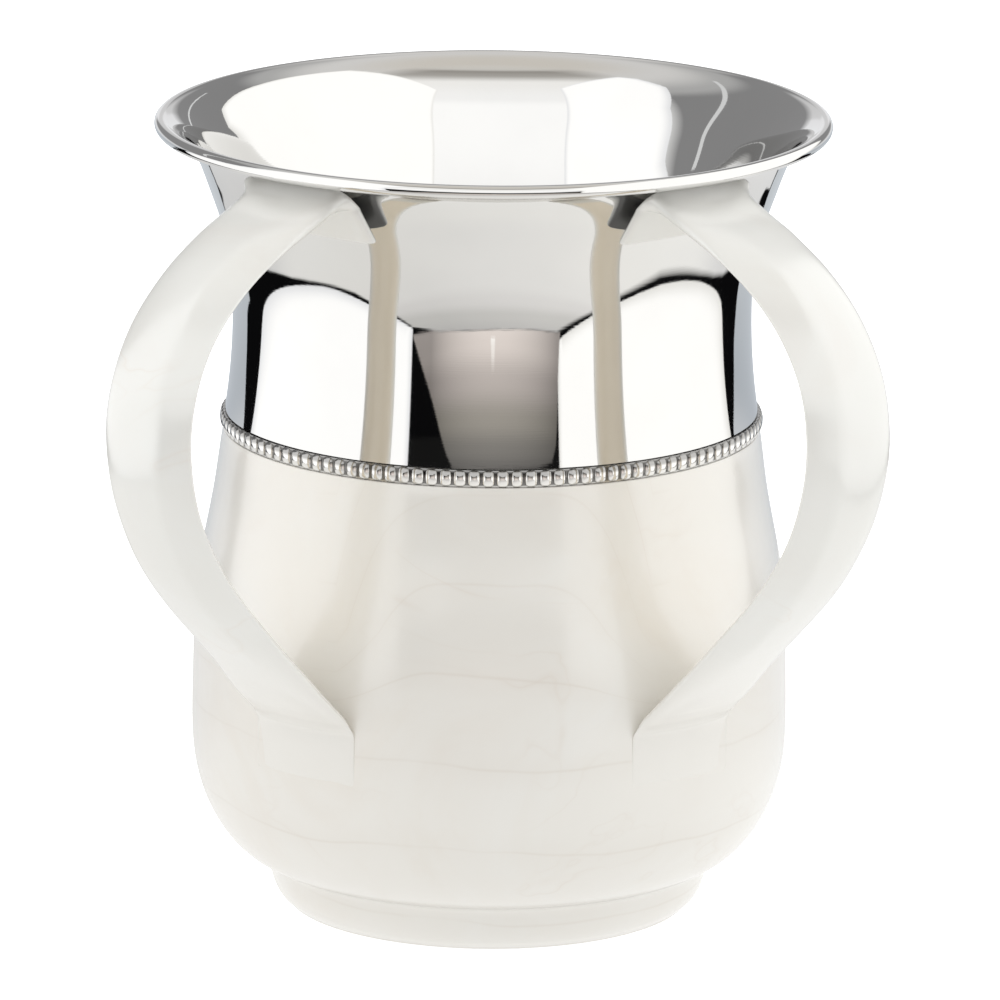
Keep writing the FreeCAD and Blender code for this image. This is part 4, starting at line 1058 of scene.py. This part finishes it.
# in front it is dark just over the panel and bright above
bright = ramp(wn, level.outputs[0], [(0.50, (0.01, 0.01, 0.01)), (0.540, (0.01, 0.01, 0.01)), (0.562, (1.30, 1.30, 1.30)), (0.75, (1.38, 1.38, 1.38)),
                                     (0.79, (1.26, 1.26, 1.26)), (0.90, (1.20, 1.19, 1.17)), (0.955, (0.50, 0.48, 0.45)), (0.972, (0.42, 0.40, 0.37)),
                                     (0.985, (0.80, 0.78, 0.74)), (1.0, (0.86, 0.84, 0.80))])
fr = node(wn, "ShaderNodeMath", operation="MULTIPLY")
fr.inputs[1].default_value = -1.0
wn.links.new(sp.outputs["Y"], fr.inputs[0])
frm = wn.nodes.new("ShaderNodeMapRange")
frm.inputs["From Min"].default_value, frm.inputs["From Max"].default_value = 0.05, 0.25
wn.links.new(fr.outputs[0], frm.inputs["Value"])
mixw = node(wn, "ShaderNodeMix", data_type="RGBA")
wn.links.new(frm.outputs[0], mixw.inputs[0])
wn.links.new(el_all.outputs[2], mixw.inputs[6])
wn.links.new(bright.outputs[0], mixw.inputs[7])
wn.links.new(mixw.outputs[2], bg_gloss.inputs[0])
m1 = wn.nodes.new("ShaderNodeMixShader")
wn.links.new(lp.outputs["Is Glossy Ray"], m1.inputs[0])
wn.links.new(bg_even.outputs[0], m1.inputs[1])
wn.links.new(bg_gloss.outputs[0], m1.inputs[2])
m2 = wn.nodes.new("ShaderNodeMixShader")
wn.links.new(lp.outputs["Is Camera Ray"], m2.inputs[0])
wn.links.new(m1.outputs[0], m2.inputs[1])
wn.links.new(bg_cam.outputs[0], m2.inputs[2])
wn.links.new(m2.outputs[0], wo.inputs[0])


def area(name, loc, target, size, power, colour=(1, 1, 1)):
    l = bpy.data.lights.new(name, "AREA")
    l.shape = "RECTANGLE"
    l.size, l.size_y = size
    l.energy = power
    l.color = colour
    ob = bpy.data.objects.new(name, l)
    ob.location = loc
    ob.rotation_euler = (Vector(target) - Vector(loc)).to_track_quat("-Z", "Y").to_euler()
    ob.visible_camera = False
    ob.visible_glossy = False
    scene.collection.objects.link(ob)
    return ob


area("soft_left", (-0.75, -0.18, 0.45), (0, 0, 0.07), (0.6, 0.6), 1.3)
area("soft_right", (0.75, -0.18, 0.45), (0, 0, 0.07), (0.6, 0.6), 1.3)

# ------------------------------------------------------------------------------------------------
# camera
# ------------------------------------------------------------------------------------------------
rho, height, pitch, pan, roll, focal = 1.800084, 0.514266, 0.241081808, 9.017e-4, 8.2568e-3, 10641.31
turn = Matrix.Rotation(math.radians(-1.0), 3, "Z")
fw = Vector((math.sin(pan) * math.cos(pitch), math.cos(pan) * math.cos(pitch), -math.sin(pitch)))
rt = Vector((math.cos(pan), -math.sin(pan), 0.0))
upv = rt.cross(fw)
cx = turn @ (math.cos(roll) * rt + math.sin(roll) * upv)
cy = turn @ (-math.sin(roll) * rt + math.cos(roll) * upv)
cz = turn @ (-fw)
loc = turn @ Vector((0.0, -rho, height))
cam_data = bpy.data.cameras.new("camera")
cam = bpy.data.objects.new("camera", cam_data)
scene.collection.objects.link(cam)
cam.matrix_world = Matrix(((cx.x, cy.x, cz.x, loc.x), (cx.y, cy.y, cz.y, loc.y), (cx.z, cy.z, cz.z, loc.z), (0, 0, 0, 1)))
cam_data.sensor_width = 36.0
cam_data.sensor_fit = "HORIZONTAL"
cam_data.lens = focal * 36.0 / 1000.0
cam_data.clip_start, cam_data.clip_end = 0.05, 60.0
scene.camera = cam
